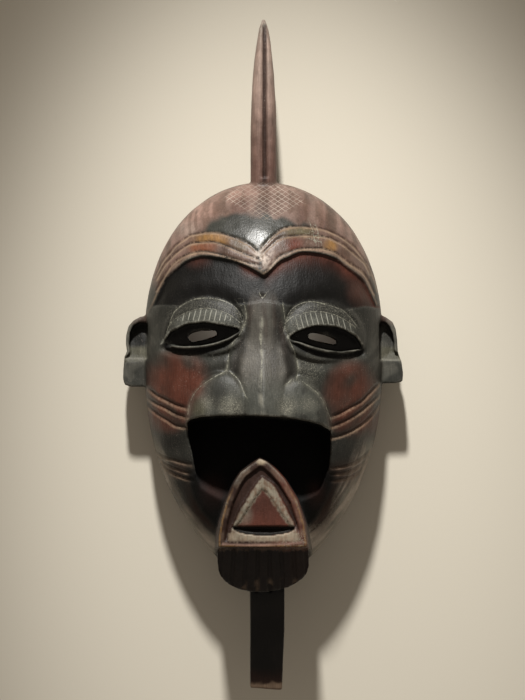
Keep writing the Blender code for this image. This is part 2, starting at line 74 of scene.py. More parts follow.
class Tone(Enum):
    """The colours on the wood, as sRGB hex values; some also serve as painted light and shade."""

    BLACK = "#1b1a18"
    SLATE = "#34342f"
    GREY = "#55564f"
    # Near black: black paint, and also painted shade in creases, in the ears' hollows and in the niche.
    SOOT_AND_SHADE = "#070605"
    RED = "#5d3226"
    DULL_RED = "#482f27"
    ORANGE = "#7d4a2f"
    OCHRE = "#8a6638"
    OLIVE = "#4f4b34"
    PINK = "#93766a"
    MAUVE = "#6b574e"
    CHALK = "#b3a598"
    BROWN = "#453226"
    # Worn tan: bare wood, and also painted light on the lower walls of grooves and on the mouth's pale band.
    WORN = "#87725e"
    # Rubbed grey: worn paint, and also painted highlights on standing edges, down the nose's ridge and on its
    # wings.
    RUBBED = "#7b786d"
    # Dusty grey: a real dusting, and also the colour of painted glints and of the painted highlight down the
    # nose's ridge.
    DUST = "#8d8b7c"
    ASH = "#a3a296"
    CREAM = "#cdbb9d"
    UMBER = "#2a1810"
    INSIDE = "#5f4532"

    @property
    def linear(self) -> Values:
        """The colour as linear RGB."""
        return linear(self.value)


def linear(code: str) -> Values:
    """Turns an sRGB hex value into linear RGB.

    Args:
        code: "#rrggbb".

    Returns:
        Three linear values.
    """
    shares = np.array([int(code[at : at + 2], 16) for at in (1, 3, 5)]) / 255.0
    return np.where(shares <= 0.04045, shares / 12.92, ((shares + 0.055) / 1.055) ** 2.4)


def smooth(share: Values | float) -> Values:
    """An even step from 0 to 1 as share goes from 0 to 1."""
    share = np.clip(share, 0.0, 1.0)
    return share * share * (3.0 - 2.0 * share)


def beyond(value: Values, start: Values | float, soft: float) -> Values:
    """0 up to start, 1 from start + soft on."""
    return smooth((value - start) / soft)


def short_of(value: Values, end: Values | float, soft: float) -> Values:
    """1 up to end - soft, 0 from end on."""
    return smooth((end - value) / soft)


def blended(first: Values, second: Values, softness: float) -> Values:
    """The higher of two heights, rounded over softness where they cross."""
    gap = np.maximum(softness - np.abs(first - second), 0.0)
    return np.maximum(first, second) + gap * gap / (4.0 * softness)


def mound(u: Values, v: Values, oval: Sequence[float]) -> Values:
    """1 in the middle of an oval (middle u, middle v, reach u, reach v in mm), 0 on its edge, domed."""
    middle_u, middle_v, reach_u, reach_v = (size * MM for size in oval[:4])
    level = ((u - middle_u) / reach_u) ** 2 + ((v - middle_v) / reach_v) ** 2
    return np.sqrt(np.maximum(1.0 - level, 0.0))


def patch(u: Values, v: Values, oval: Sequence[float], soft: float = 0.5) -> Values:
    """1 over most of an oval, falling evenly to 0 on its edge over the share soft."""
    middle_u, middle_v, reach_u, reach_v = (size * MM for size in oval[:4])
    reach = np.hypot((u - middle_u) / reach_u, (v - middle_v) / reach_v)
    return short_of(reach, 1.0, soft)


def curve(points: Points, steps: int = 6) -> Values:
    """A smooth line through points.

    Args:
        points: Points of the elevation in millimetres.
        steps: Pieces of line between two points.

    Returns:
        The line's points in metres.
    """
    knots = np.array(points, float) * MM
    padded = np.vstack([2 * knots[0] - knots[1], knots, 2 * knots[-1] - knots[-2]])
    line = []
    for before, start, end, after in zip(padded, padded[1:], padded[2:], padded[3:]):
        for share in np.arange(steps) / steps:
            bend = 2 * start + (end - before) * share
            bend = bend + (2 * before - 5 * start + 4 * end - after) * share**2
            line.append((bend + (3 * start - before - 3 * end + after) * share**3) / 2)
    return np.array(line + [knots[-1]])


def along(line: Values, level: Values) -> Values:
    """The second value of a line at a first value, both in metres."""
    table = line[np.argsort(line[:, 0])]
    return np.interp(level, table[:, 0], table[:, 1])


def offset_from(line: Values, u: Values, v: Values, reach: float = 0.008) -> Values:
    """How far each point lies from a line, positive on the left of the way it runs.

    Args:
        line: Points in metres.
        u: Across.
        v: Up.
        reach: Points further off than this may hold any larger number.

    Returns:
        Signed distances in metres.
    """
    low, high = line.min(axis=0) - reach, line.max(axis=0) + reach
    near = (u > low[0]) & (u < high[0]) & (v > low[1]) & (v < high[1])
    found = np.full(len(u), 1.0)
    if not near.any():
        return found
    pu, pv = u[near], v[near]
    best = np.full(len(pu), 1.0)
    side = np.ones(len(pu))
    for (u0, v0), (u1, v1) in zip(line, line[1:]):
        du, dv = u1 - u0, v1 - v0
        share = np.clip(((pu - u0) * du + (pv - v0) * dv) / max(du * du + dv * dv, 1e-12), 0, 1)
        gap = np.hypot(pu - u0 - share * du, pv - v0 - share * dv)
        closer = gap < best
        best = np.where(closer, gap, best)
        side = np.where(closer, np.sign(du * (pv - v0) - dv * (pu - u0)), side)
    found[near] = best * np.where(side == 0, 1.0, side)
    return found


def stripe(line: Values, u: Values, v: Values, half: float, shift: float = 0.0) -> Values:
    """1 along a line, falling to 0 at half its width, on the line or shifted to its left."""
    gap = np.abs(offset_from(line, u, v, half + abs(shift)) - shift)
    return smooth(1.5 * (1.0 - gap / half))


def inside(outline: Points, u: Values, v: Values, reach: float = 0.03) -> Values:
    """Distance in from an outline given in millimetres, negative outside it."""
    flat = np.array(outline, float) * MM
    line = np.vstack([flat, flat[:1]])
    crossed = np.zeros(len(u), bool)
    for (u0, v0), (u1, v1) in zip(line, line[1:]):
        if v0 != v1:
            crossed ^= ((v0 > v) != (v1 > v)) & (u < (u1 - u0) * (v - v0) / (v1 - v0) + u0)
    return np.where(crossed, 1.0, -1.0) * np.abs(offset_from(line, u, v, reach))


def mottle(u: Values, v: Values, size: float, seed: int) -> Values:
    """Soft even noise from 0 to 1.

    Args:
        u: Across.
        v: Up.
        size: The width of its blotches in millimetres.
        seed: Which noise.

    Returns:
        One value for each point.
    """
    side = 128
    table = np.random.default_rng(seed).random((side, side))
    across, up = (0.87 * u + 0.5 * v) / (size * MM), (0.87 * v - 0.5 * u) / (size * MM)
    left, low = np.floor(across).astype(int), np.floor(up).astype(int)
    part_u, part_v = smooth(across - left), smooth(up - low)
    corner = table[left % side, low % side] * (1 - part_u) + table[(left + 1) % side, low % side] * part_u
    top = table[left % side, (low + 1) % side] * (1 - part_u)
    top = top + table[(left + 1) % side, (low + 1) % side] * part_u
    return corner * (1 - part_v) + top * part_v


def v_groove(line: Values, u: Values, v: Values, half: float, depth: float) -> Values:
    """The depth of a V-shaped groove along a line, half its width to each side, shallow at its ends."""
    cut = np.maximum(1.0 - np.abs(offset_from(line, u, v, half)) / half, 0.0)
    ends = np.minimum(np.hypot(u - line[0, 0], v - line[0, 1]), np.hypot(u - line[-1, 0], v - line[-1, 1]))
    return depth * cut**1.1 * smooth(0.35 + ends / (4.0 * half))


def mesh_object(name: str, points: Values, faces: list[tuple[int, ...]]) -> bpy.types.Object:
    """An object from points and faces, with its normals turned outward."""
    mesh = bpy.data.meshes.new(name)
    mesh.from_pydata([tuple(point) for point in points], [], faces)
    work = bmesh.new()
    work.from_mesh(mesh)
    bmesh.ops.recalc_face_normals(work, faces=work.faces)
    work.to_mesh(mesh)
    work.free()
    made = bpy.data.objects.new(name, mesh)
    bpy.context.scene.collection.objects.link(made)
    return made


def rings_object(name: str, rings: list[Values]) -> bpy.types.Object:
    """A closed skin through rings of points, capped at both ends."""
    count = len(rings[0])
    faces = [tuple(range(count)), tuple(range((len(rings) - 1) * count, len(rings) * count))]
    for ring in range(len(rings) - 1):
        low, high = ring * count, (ring + 1) * count
        for spoke in range(count):
            after = (spoke + 1) % count
            faces.append((low + spoke, low + after, high + after, high + spoke))
    return mesh_object(name, np.vstack(rings), faces)


def prism(
    name: str, outline: Points, low: Height, high: Height, spread: float = 0.0, lift: float = 0.0
) -> bpy.types.Object:
    """An outline run up from low to high.

    Args:
        name: The object's name.
        outline: Points in millimetres.
        low: The height of its foot, or a function of (u, v).
        high: The height of its top, or a function of (u, v).
        spread: How much wider the foot is, about its middle.
        lift: How far up the elevation the foot is shifted.

    Returns:
        A closed object.
    """
    flat = np.array(outline, float) * MM
    middle = flat.mean(axis=0)
    wide = middle + (flat - middle) * (1.0 + spread) + (0.0, lift)
    ends = []
    for shape, end in ((wide, low), (flat, high)):
        level = end(shape[:, 0], shape[:, 1]) if callable(end) else np.full(len(shape), end)
        ends.append(np.column_stack([shape, level]))
    return rings_object(name, ends)


def evaluated(base: bpy.types.Object) -> bpy.types.Object:
    """Puts the object's mesh with its modifiers done in its place, and takes the modifiers off."""
    graph = bpy.context.evaluated_depsgraph_get()
    graph.update()
    mesh = bpy.data.meshes.new_from_object(base.evaluated_get(graph), depsgraph=graph)
    base.modifiers.clear()
    base.data = mesh
    return base


def combined(base: bpy.types.Object, steps: list[Step]) -> bpy.types.Object:
    """Joins and cuts the base with other objects in turn, which are then removed."""
    for operation, other in steps:
        step = base.modifiers.new(other.name, "BOOLEAN")
        step.operation = operation
        step.solver = "EXACT"
        step.object = other
        other.hide_render = True
    evaluated(base)
    for _, other in steps:
        bpy.data.objects.remove(other)
    return base


def add(
    tree: bpy.types.NodeTree, kind: str, settings: dict | None = None, links: dict | None = None, **choices
) -> bpy.types.Node:
    """Adds a node.

    Args:
        tree: The tree it goes into.
        kind: The node's type name.
        settings: Values of its input sockets.
        links: Output sockets that lead to its inputs.
        **choices: Its own properties.

    Returns:
        The node.
    """
    node = tree.nodes.new(kind)
    for name, value in choices.items():
        setattr(node, name, value)
    for socket, value in (settings or {}).items():
        node.inputs[socket].default_value = value
    for socket, source in (links or {}).items():
        tree.links.new(source, node.inputs[socket])
    return node


@dataclass
class Coat:
    """The paint, wear and painted light and shade on each vertex of the finished carving."""

    u: Values
    v: Values
    z: Values
    facing: Values
    edge: Values
    stroke: Values
    hatch: Values = field(init=False)
    lashes: Values = field(init=False)
    seam: Values = field(init=False)
    specks: Values = field(init=False)
    colour: Values = field(init=False)
    worn: Values = field(init=False)
    dull: Values = field(init=False)

    def __post_init__(self) -> None:
        """Starts with the whole piece blackened."""
        self.colour = np.tile(Tone.SLATE.linear, (len(self.u), 1))
        self.worn = np.full(len(self.u), 0.10)
        self.hatch = np.zeros(len(self.u))
        self.lashes = np.zeros(len(self.u))
        self.specks = np.zeros(len(self.u))
        self.seam = np.full(len(self.u), NO_LINE)
        self.dull = np.full(len(self.u), 0.35)

    def lay(self, tone: Tone, share: Values | float) -> None:
        """Lays a tone over what is there, by a share from 0 to 1."""
        share = np.broadcast_to(np.clip(share, 0.0, 1.0), self.u.shape)
        self.colour += (tone.linear - self.colour) * share[:, None]

    def dab(self, share: Values | float, rows: Sequence[Dab]) -> None:
        """Lays soft ovals: each a tone, its share, its place and reaches in mm, and its softness."""
        for tone, amount, oval, soft in rows:
            self.lay(tone, amount * share * patch(self.u, self.v, oval, soft))

    def speckled(self, size: float, seed: int, low: float, soft: float) -> Values:
        """The share of blotches, 0 up to low and 1 from low + soft on."""
        return beyond(self.noise(size, seed), low, soft)

    @property
    def front(self) -> Values:
        """1 on what looks up, 0 on what looks sideways or down."""
        return beyond(self.facing, -0.1, 0.3)

    def rub(self, share: Values) -> None:
        """Wears the paint thin, by a share from 0 to 1."""
        self.worn = np.maximum(self.worn, np.clip(share, 0.0, 1.0))

    def polish(self, dull: float, share: Values) -> None:
        """Sets how dull the surface is, by a share from 0 to 1."""
        self.dull += (dull - self.dull) * np.clip(share, 0.0, 1.0)

    def noise(self, size: float, seed: int) -> Values:
        """Soft noise over the elevation, its blotches size millimetres wide."""
        return mottle(self.u, self.v + 0.7 * self.z, size, seed)

    def round_noise(self, wide: float, high: float, seed: int) -> Values:
        """Soft noise round the head's side, its blotches wide and high in millimetres."""
        turn = 0.13 * np.arctan2(self.v, self.u)
        return mottle(turn, self.z * wide / high, wide, seed)

    def draw(self, line: Values, half: float, share: Values | float = 1.0) -> None:
        """Draws a fine pale line, its half width in metres and thinner where share is low: a dusting in the
        cuts, a painted highlight on the nose's ridge.
        """
        gap = offset_from(line, self.u, self.v, 0.006) / (half * np.maximum(share, 0.08))
        self.seam = np.where(np.abs(gap) < np.abs(self.seam), gap, self.seam)

    def scatter(self, share: Values) -> None:
        """Scatters fine pale speckles, painted glints and partly a real dusting, brighter where share is
        high.
        """
        self.specks = np.maximum(self.specks, np.clip(share, 0.0, 1.0))

    def grooved(self, line: Values, half: float, bare: Tone, share: float = 1.0) -> None:
        """Colours a V groove: painted shade on its upper side, bare wood and painted light on its lower side.
        """
        front = share * self.front
        patchy = 0.55 + 0.75 * self.noise(7.0, 11)
        # The paler lower wall: bare wood, and painted light where the groove's wall faces up toward the
        # light.
        self.lay(bare, front * patchy * stripe(line, self.u, self.v, 0.62 * half, -0.62 * half))
        # The darker upper wall: painted shade where the groove's wall faces down.
        self.lay(Tone.UMBER, 0.85 * front * stripe(line, self.u, self.v, 0.55 * half, 0.2 * half))


@dataclass
class Head:
    """The egg-shaped shell of the head, its side straight from the back rim up to side_depth."""

    half_width: float = 0.107
    widest_level: float = 0.004
    crown_reach: float = 0.150
    chin_reach: float = 0.219
    side_depth: float = 0.040
    dome_rise: float = 0.086
    side_wall: float = 0.015
    front_wall: float = 0.014
    hollow_rise: float = 0.066
    hollow_step: float = 0.022
    narrowing: float = 0.79
    rings: int = 96
    spokes: int = 264
    # Pale pink and chalk on the left of the crown: rubbed paint, and a painted sheen on the side toward the
    # light.
    pale_crown: tuple[Dab, ...] = (
        (Tone.PINK, 0.55, (-52, 130, 20, 15), 0.9), (Tone.CHALK, 0.45, (-69, 113, 12, 12), 0.9),
    )
    dark_jaw: tuple[Dab, ...] = (
        (Tone.BLACK, 0.8, (-76, -124, 15, 30), 0.7), (Tone.SOOT_AND_SHADE, 0.7, (-82, -78, 17, 13), 0.8),
    )
    shine: Oval = (-2, 107, 36, 24)
    # Where painted glints, partly a real dusting, are scattered over the forehead's highlight.
    highlight_specks: Oval = (-3, 104, 20, 16)
    temples: Oval = (0, 2, 140, 42)
    hatch_wide: float = 6.7
    hatch_high: float = 4.3
    hatch_outline: Points = (
        (-38, 139), (-31, 147), (-18, 153), (0, 155), (18, 153), (31, 146), (39, 136), (21, 127), (2, 118),
        (-17, 128),
    )

    def level(self, u: Values, v: Values, inset: float = 0.0) -> Values:
        """0 at the middle of the face and 1 on its outline, drawn in by inset."""
        across = u / (self.half_width - inset)
        up = np.maximum(v - self.widest_level, 0.0) / (self.crown_reach - inset)
        down = np.maximum(self.widest_level - v, 0.0) / (self.chin_reach - 2.0 * inset)
        return across**2 + up**2.4 + 1.0 - (1.0 - np.minimum(down, 1.0) ** 2.54) ** 1.7

    def dome(self, u: Values, v: Values) -> Values:
        """The plain front, before the features."""
        return self.side_depth + self.dome_rise * np.sqrt(np.maximum(1.0 - self.level(u, v), 0.0))

    def outline(self, inset: float = 0.0) -> tuple[Values, Values]:
        """Points of the head's outline from its middle, by halving along each spoke."""
        angle = np.linspace(0.0, 2.0 * np.pi, self.spokes, endpoint=False)
        near, far = np.zeros(self.spokes), np.full(self.spokes, self.chin_reach)
        for _ in range(40):
            reach = (near + far) / 2
            level = self.level(reach * np.cos(angle), self.widest_level + reach * np.sin(angle), inset)
            near, far = np.where(level >= 1.0, near, reach), np.where(level >= 1.0, reach, far)
        return near * np.cos(angle), near * np.sin(angle)

    def shell(self, name: str, height: Height, inset: float, foot: float) -> bpy.types.Object:
        """A solid with the egg's outline, a shaped top and a flat foot."""
        across, up = self.outline(inset)
        rings = [np.column_stack([across, self.widest_level + up, np.full(self.spokes, foot)])]
        for ring in range(self.rings):
            share = np.cos(0.5 * np.pi * ring / self.rings)
            u, v = across * share, self.widest_level + up * share
            rings.append(np.column_stack([u, v, height(u, v)]))
        return rings_object(name, rings)

    def dress(self, coat: Coat) -> None:
        """Paints the crown, forehead, jaw and rim, with a painted sheen on the crown's left and painted
        glints.
        """
        u, v, noise = coat.u, coat.v, coat.noise
        up = beyond(coat.facing, -0.2, 0.3)
        level = self.level(u, v)
        right = smooth(u / 0.03)
        coat.lay(Tone.BLACK, 0.5 * noise(26.0, 1))
        crown = smooth((v - 0.1225 + 0.007 * right - 0.010 * (noise(7.0, 2) - 0.5)) / 0.006)
        middle = smooth((0.78 - 0.07 * right + 0.10 * (noise(8.0, 3) - 0.5) - level) / 0.10)
        crown = (1.0 - (1.0 - crown) * middle) * beyond(v, 0.058, 0.03) * up
        coat.lay(Tone.MAUVE, 0.92 * crown)
        coat.lay(Tone.DULL_RED, 0.5 * crown * coat.speckled(9.0, 4, 0.4, 0.3) * beyond(v, 0.10, 0.02))
        coat.lay(Tone.BLACK, 0.4 * crown * coat.speckled(12.0, 13, 0.5, 0.25))
        # Rubbed paint and a painted sheen on the crown's left.
        coat.dab(crown, self.pale_crown)
        coat.hatch = smooth(inside(self.hatch_outline, u, v) / 0.003) * up * (0.35 + 0.8 * noise(7.0, 15))
        # Paler pink down the sides of the forehead, strongest on the left: rubbed paint, and a painted sheen.
        sides = beyond(level, 0.74, 0.20) * beyond(v, 0.050, 0.03) * (0.55 + 0.45 * smooth(-u / 0.02))
        coat.lay(Tone.PINK, 0.55 * sides * up * coat.speckled(7.0, 6, 0.1, 0.5))
        coat.lay(Tone.BROWN, 0.45 * crown * coat.speckled(3.5, 5, 0.45, 0.25))
        coat.polish(0.10, patch(u, v, self.shine, 0.9))
        # Painted glints, partly a real dusting, over the forehead's highlight.
        coat.scatter(0.35 * patch(u, v, self.highlight_specks, 0.9))
        jaw = short_of(v, -0.07, 0.02)
        worn_rim = smooth((level - 0.83 - 0.05 * noise(8.0, 7)) / 0.06) * jaw * up
        coat.lay(Tone.RUBBED, 0.9 * worn_rim)
        pale = smooth((level - 0.86 + 0.14 * smooth(u / 0.02)) / 0.10) * short_of(v, -0.065, 0.04)
        pale = pale * beyond(coat.z, 0.034, 0.010)
        streaks = beyond(mottle(0.083 * level, 0.12 * v, 2.2, 14), 0.3, 0.4)
        coat.lay(Tone.CHALK, pale * (0.2 + 0.7 * streaks))
        # Painted glints, partly a real dusting, on the pale jaw edge.
        coat.scatter(0.5 * pale * (level < 1.01))
        coat.dab(up, self.dark_jaw)
        temple = beyond(level, 0.72, 0.2) * patch(u, v, self.temples, 0.5) * up
        coat.lay(Tone.RUBBED, 0.4 * temple * coat.speckled(4.0, 16, 0.3, 0.4))
        coat.rub(0.35 * worn_rim)
        coat.polish(0.55, jaw)
        self.dress_side(coat, level)

    def dress_side(self, coat: Coat, level: Values) -> None:
        """Leaves the upright side plainer: blackened, rubbed in long patches and browned at its foot."""
        side = short_of(coat.z, self.side_depth + 0.004, 0.010) * beyond(level, 0.955, 0.03)
        coat.lay(Tone.BLACK, 0.80 * side)
        coat.lay(Tone.BROWN, 0.60 * side * beyond(coat.round_noise(34.0, 15.0, 17), 0.35, 0.4))
        coat.lay(Tone.RUBBED, 0.30 * side * beyond(coat.round_noise(9.0, 3.5, 18), 0.5, 0.3))
        foot = smooth((0.016 - coat.z + 0.012 * (coat.round_noise(13.0, 8.0, 19) - 0.5)) / 0.012) * side
        coat.lay(Tone.BROWN, 0.75 * foot)
        coat.lay(Tone.WORN, 0.35 * side * short_of(coat.z, 0.004, 0.003) * coat.round_noise(7.0, 7.0, 20))
        coat.polish(0.50, side)

    def dress_inside(self, coat: Coat, ceiling: Values) -> None:
        """Leaves the hollow and the back rim bare wood, browned with handling."""
        within = short_of(self.level(coat.u, coat.v, self.side_wall - 0.006), 1.0, 0.03)
        hollow = within * short_of(coat.z, ceiling + 0.007, 0.003)
        rim = short_of(coat.z, 0.0012, 0.001) * short_of(self.level(coat.u, coat.v), 1.03, 0.02)
        bare = np.maximum(hollow, rim)
        coat.lay(Tone.INSIDE, bare)
        coat.lay(Tone.UMBER, 0.6 * bare * beyond(coat.noise(30.0, 9), 0.35, 0.5))
        coat.lay(Tone.WORN, 0.4 * rim * coat.noise(12.0, 10))
        for share in (coat.worn, coat.hatch, coat.lashes, coat.specks):
            share *= 1.0 - bare
        behind = (bare > 0.01) | (coat.facing < -0.1)
        coat.seam = np.where(behind, NO_LINE, coat.seam)
        coat.polish(0.72, bare)


@dataclass
class Brow:
    """A double arch of grooves, with a sunk band below it."""

    ledge_step: float = 0.0032
    ledge_width: float = 0.003
    band_foot: float = 0.039
    foot_step: float = 0.0011
    foot: Points = (
        (-106, 42), (-88, 43), (-60, 40), (-32, 42), (-24, 44), (-12, 45), (0, 47), (14, 45), (24, 43),
        (36, 42), (60, 38), (80, 40), (92, 42), (106, 40),
    )
    half: float = 0.0018
    depth: float = 0.0012
    meeting: Oval = (-1, 86, 15, 17)
    red_band: tuple[Dab, ...] = ((Tone.DULL_RED, 0.75, (88, 56, 18, 20), 0.9),)
    red_edge: tuple[Dab, ...] = (
        (Tone.RED, 0.35, (-58, 82, 16, 12), 0.9), (Tone.RED, 0.6, (-12, 76, 14, 14), 0.9),
    )
    stripes: tuple[tuple[Dab, ...], ...] = (
        ((Tone.OCHRE, 0.80, (-46, 103, 22, 12), 0.7), (Tone.OLIVE, 0.5, (-20, 100, 14, 12), 0.7)),
        ((Tone.ORANGE, 0.75, (-55, 96, 17, 12), 0.7), (Tone.PINK, 0.35, (-78, 84, 22, 16), 0.7)),
        ((Tone.OLIVE, 0.75, (31, 110, 18, 10), 0.7), (Tone.SLATE, 0.5, (15, 104, 12, 10), 0.7)),
        ((Tone.RED, 0.95, (28, 99, 11, 10), 0.7), (Tone.OCHRE, 0.75, (60, 97, 9, 9), 0.7)),
        ((Tone.PINK, 0.3, (-52, 90, 26, 10), 0.7),),
        ((Tone.PINK, 0.3, (44, 93, 26, 10), 0.7),),
    )
    scars: tuple[Points, ...] = (
        ((41.5, 118), (44.5, 110), (46, 100)), ((46.5, 116), (49, 109), (49.5, 99)), ((39, 108.5), (50, 106)),
        ((42, 103), (52, 101)), ((-3.2, 53.5), (-0.9, 50), (1.6, 53.5)),
    )
    ridge_left: Points = (
        (-104, 36), (-99.2, 44.6), (-92.7, 59.4), (-88.2, 68.9), (-79.2, 77), (-70.2, 83.9), (-60.9, 87.5),
        (-52.2, 88.9), (-34.2, 86.4), (-24.3, 83.9), (-11.9, 78.1), (0, 71.5),
    )
    ridge_right: Points = (
        (0, 71.5), (3.3, 73.5), (7.8, 78), (15.3, 84.6), (22.5, 87.9), (33.3, 92.4), (44.6, 92), (52.8, 90.6),
        (60.3, 88.4), (67.5, 85), (73.8, 80), (82.8, 73.4), (89.6, 67.3), (93.3, 60.8), (97, 53.8), (101, 44),
    )
    grooves_left: tuple[Points, ...] = (
        (
            (-97, 70), (-92.7, 80.3), (-88.2, 86.9), (-83.7, 91.9), (-79.2, 97.7), (-70.3, 103.8),
            (-66, 106.7), (-56.7, 108.5), (-48, 109.2), (-38.7, 108.5), (-29.3, 105.6), (-20.7, 102.3),
            (-11.9, 97.7), (-4.7, 90.5),
        ),
        (
            (-96.3, 67.3), (-92.7, 74.5), (-88.4, 81), (-83.7, 86), (-79.2, 90.5), (-70.3, 96.9),
            (-64.5, 99.5), (-56.7, 100.4), (-48, 100.9), (-41.4, 100.2), (-34.2, 97.7), (-24.3, 93.3),
            (-14, 88.9), (-3.2, 84.6),
        ),
        (
            (-96.3, 57.2), (-92.7, 64.4), (-86.9, 73.8), (-83.7, 78.8), (-79.2, 83.3), (-70.2, 88.7),
            (-61.2, 91.5), (-52.2, 92.3), (-43.2, 90.5), (-34.2, 88.2), (-24.3, 85.1), (-15.3, 82.4),
            (-4, 79.7),
        ),
    )
    grooves_right: tuple[Points, ...] = (
        (
            (-2.7, 93.6), (4, 101.9), (7.8, 105.6), (13, 110), (17.6, 112.7), (24.3, 114.2),
            (33.3, 114.8), (49.5, 113), (55.8, 111.6), (64.8, 107.8), (73.8, 102.6), (82.8, 95),
            (91.8, 83), (95.4, 78), (100.8, 66), (103, 57),
        ),
        (
            (-2.7, 85.3), (0.9, 92.3), (7.8, 98.8), (12.3, 103), (17.6, 105.2), (25.2, 106), (37.8, 106.7),
            (55.8, 105.2), (64.8, 101.9), (72, 98), (78.3, 93), (87.3, 85.3), (91.8, 80.8), (96.3, 71.8),
        ),
        (
            (2.7, 75), (6.3, 78.8), (10.8, 84.6), (15.3, 88.7), (22.5, 91.4), (28.8, 94), (39.3, 95),
            (51.3, 95), (57.3, 93.6), (64.8, 91), (71.6, 86), (78.3, 80.8), (87.3, 75), (91.8, 70.4),
            (96.3, 62.8), (99.9, 53.8),
        ),
    )

    def ledge_level(self, u: Values) -> Values:
        """The level of the ledge's lower edge."""
        return np.where(u < 0, along(curve(self.ridge_left), u), along(curve(self.ridge_right), u))

    def sink(self, u: Values, v: Values) -> Values:
        """How deep the band under the brow is sunk."""
        ledge = self.ledge_level(u)
        drop = ledge - v
        fade = 1.0 - smooth(drop / np.maximum(ledge - self.band_foot, 0.006))
        return self.ledge_step * smooth(drop / self.ledge_width) * fade

    def band(self, u: Values, v: Values, lids: tuple[Points, ...]) -> Values:
        """The share of the sunk band, down to its crisp foot and the lids that stand in it."""
        foot = along(curve(self.foot), u)
        share = smooth((self.ledge_level(u) - 0.0005 - v) / 0.0016) * beyond(v, foot, 0.0014)
        for lid in lids:
            share = share * (1.0 - beyond(inside(lid, u, v), -0.0012, 0.0014))
        return share

    def carving(self, u: Values, v: Values, lids: tuple[Points, ...]) -> Values:
        """How deep the brow's grooves and its band's foot are cut, and the chip between the brows."""
        depth = self.foot_step * self.band(u, v, lids) + 0.0010 * patch(u, v, (-1.0, 52.0, 2.5, 3.0))
        for points in self.grooves_left + self.grooves_right:
            depth = np.maximum(depth, v_groove(curve(points), u, v, self.half, self.depth))
        return depth

    def between(self, u: Values, v: Values, groups: tuple[Points, Points]) -> Values:
        """The share of the band between an upper and a lower line."""
        lines = [curve(points) for points in groups]
        upper, lower = (along(line, u) for line in lines)
        ends = smooth((u - lines[0][:, 0].min()) / 0.002) * smooth((lines[0][:, 0].max() - u) / 0.002)
        return short_of(v, upper, 0.0015) * beyond(v, lower, 0.0015) * ends

    def dress(self, coat: Coat, lids: tuple[Points, ...]) -> None:
        """Paints the arches, the ledge and the sunk band."""
        u, v, noise = coat.u, coat.v, coat.noise
        up = smooth(coat.facing / 0.2)
        ledge = self.ledge_level(u)
        band = self.band(u, v, lids) * beyond(coat.z, 0.03, 0.01)
        coat.lay(Tone.SOOT_AND_SHADE, 0.96 * band)
        coat.worn *= 1.0 - 0.8 * band
        coat.polish(0.44, band)
        under = np.exp(-((np.maximum(ledge - v, 0.0) / 0.010) ** 2)) * band
        coat.lay(Tone.RED, 0.80 * under * beyond(u, -0.002, 0.012) * (0.3 + 0.8 * noise(9.0, 22)))
        coat.dab(band, self.red_band)
        coat.dab(under, self.red_edge)
        left, right = self.grooves_left, self.grooves_right
        ends = (left[2], self.ridge_left), (right[2], self.ridge_right)
        for pair, areas in zip((left[:2], left[1:], right[:2], right[1:], *ends), self.stripes):
            here = self.between(u, v, pair) * up
            coat.lay(Tone.MAUVE, 0.85 * here)
            coat.lay(Tone.BROWN, 0.3 * here + 0.4 * here * coat.speckled(6.0, 24, 0.45, 0.3))
            coat.dab(here * (0.6 + 0.5 * noise(3.0, 25)), areas)
        for line in (self.ridge_left, self.ridge_right):
            edge = stripe(curve(line), u, v, 0.0011, 0.0010)
            coat.lay(Tone.WORN, 0.45 * up * (0.1 + 0.9 * noise(9.0, 21)) * edge)
        for points in left + right:
            coat.grooved(curve(points), self.half, Tone.WORN, 0.65)
        # Pale speckle where the arches meet: worn paint, and a painted highlight.
        meeting = up * patch(u, v, self.meeting, 0.9) * (v > ledge)
        coat.lay(Tone.CHALK, 0.75 * meeting * coat.speckled(1.8, 26, 0.45, 0.25))
        for scar in self.scars:
            coat.draw(curve(scar), 0.0005)


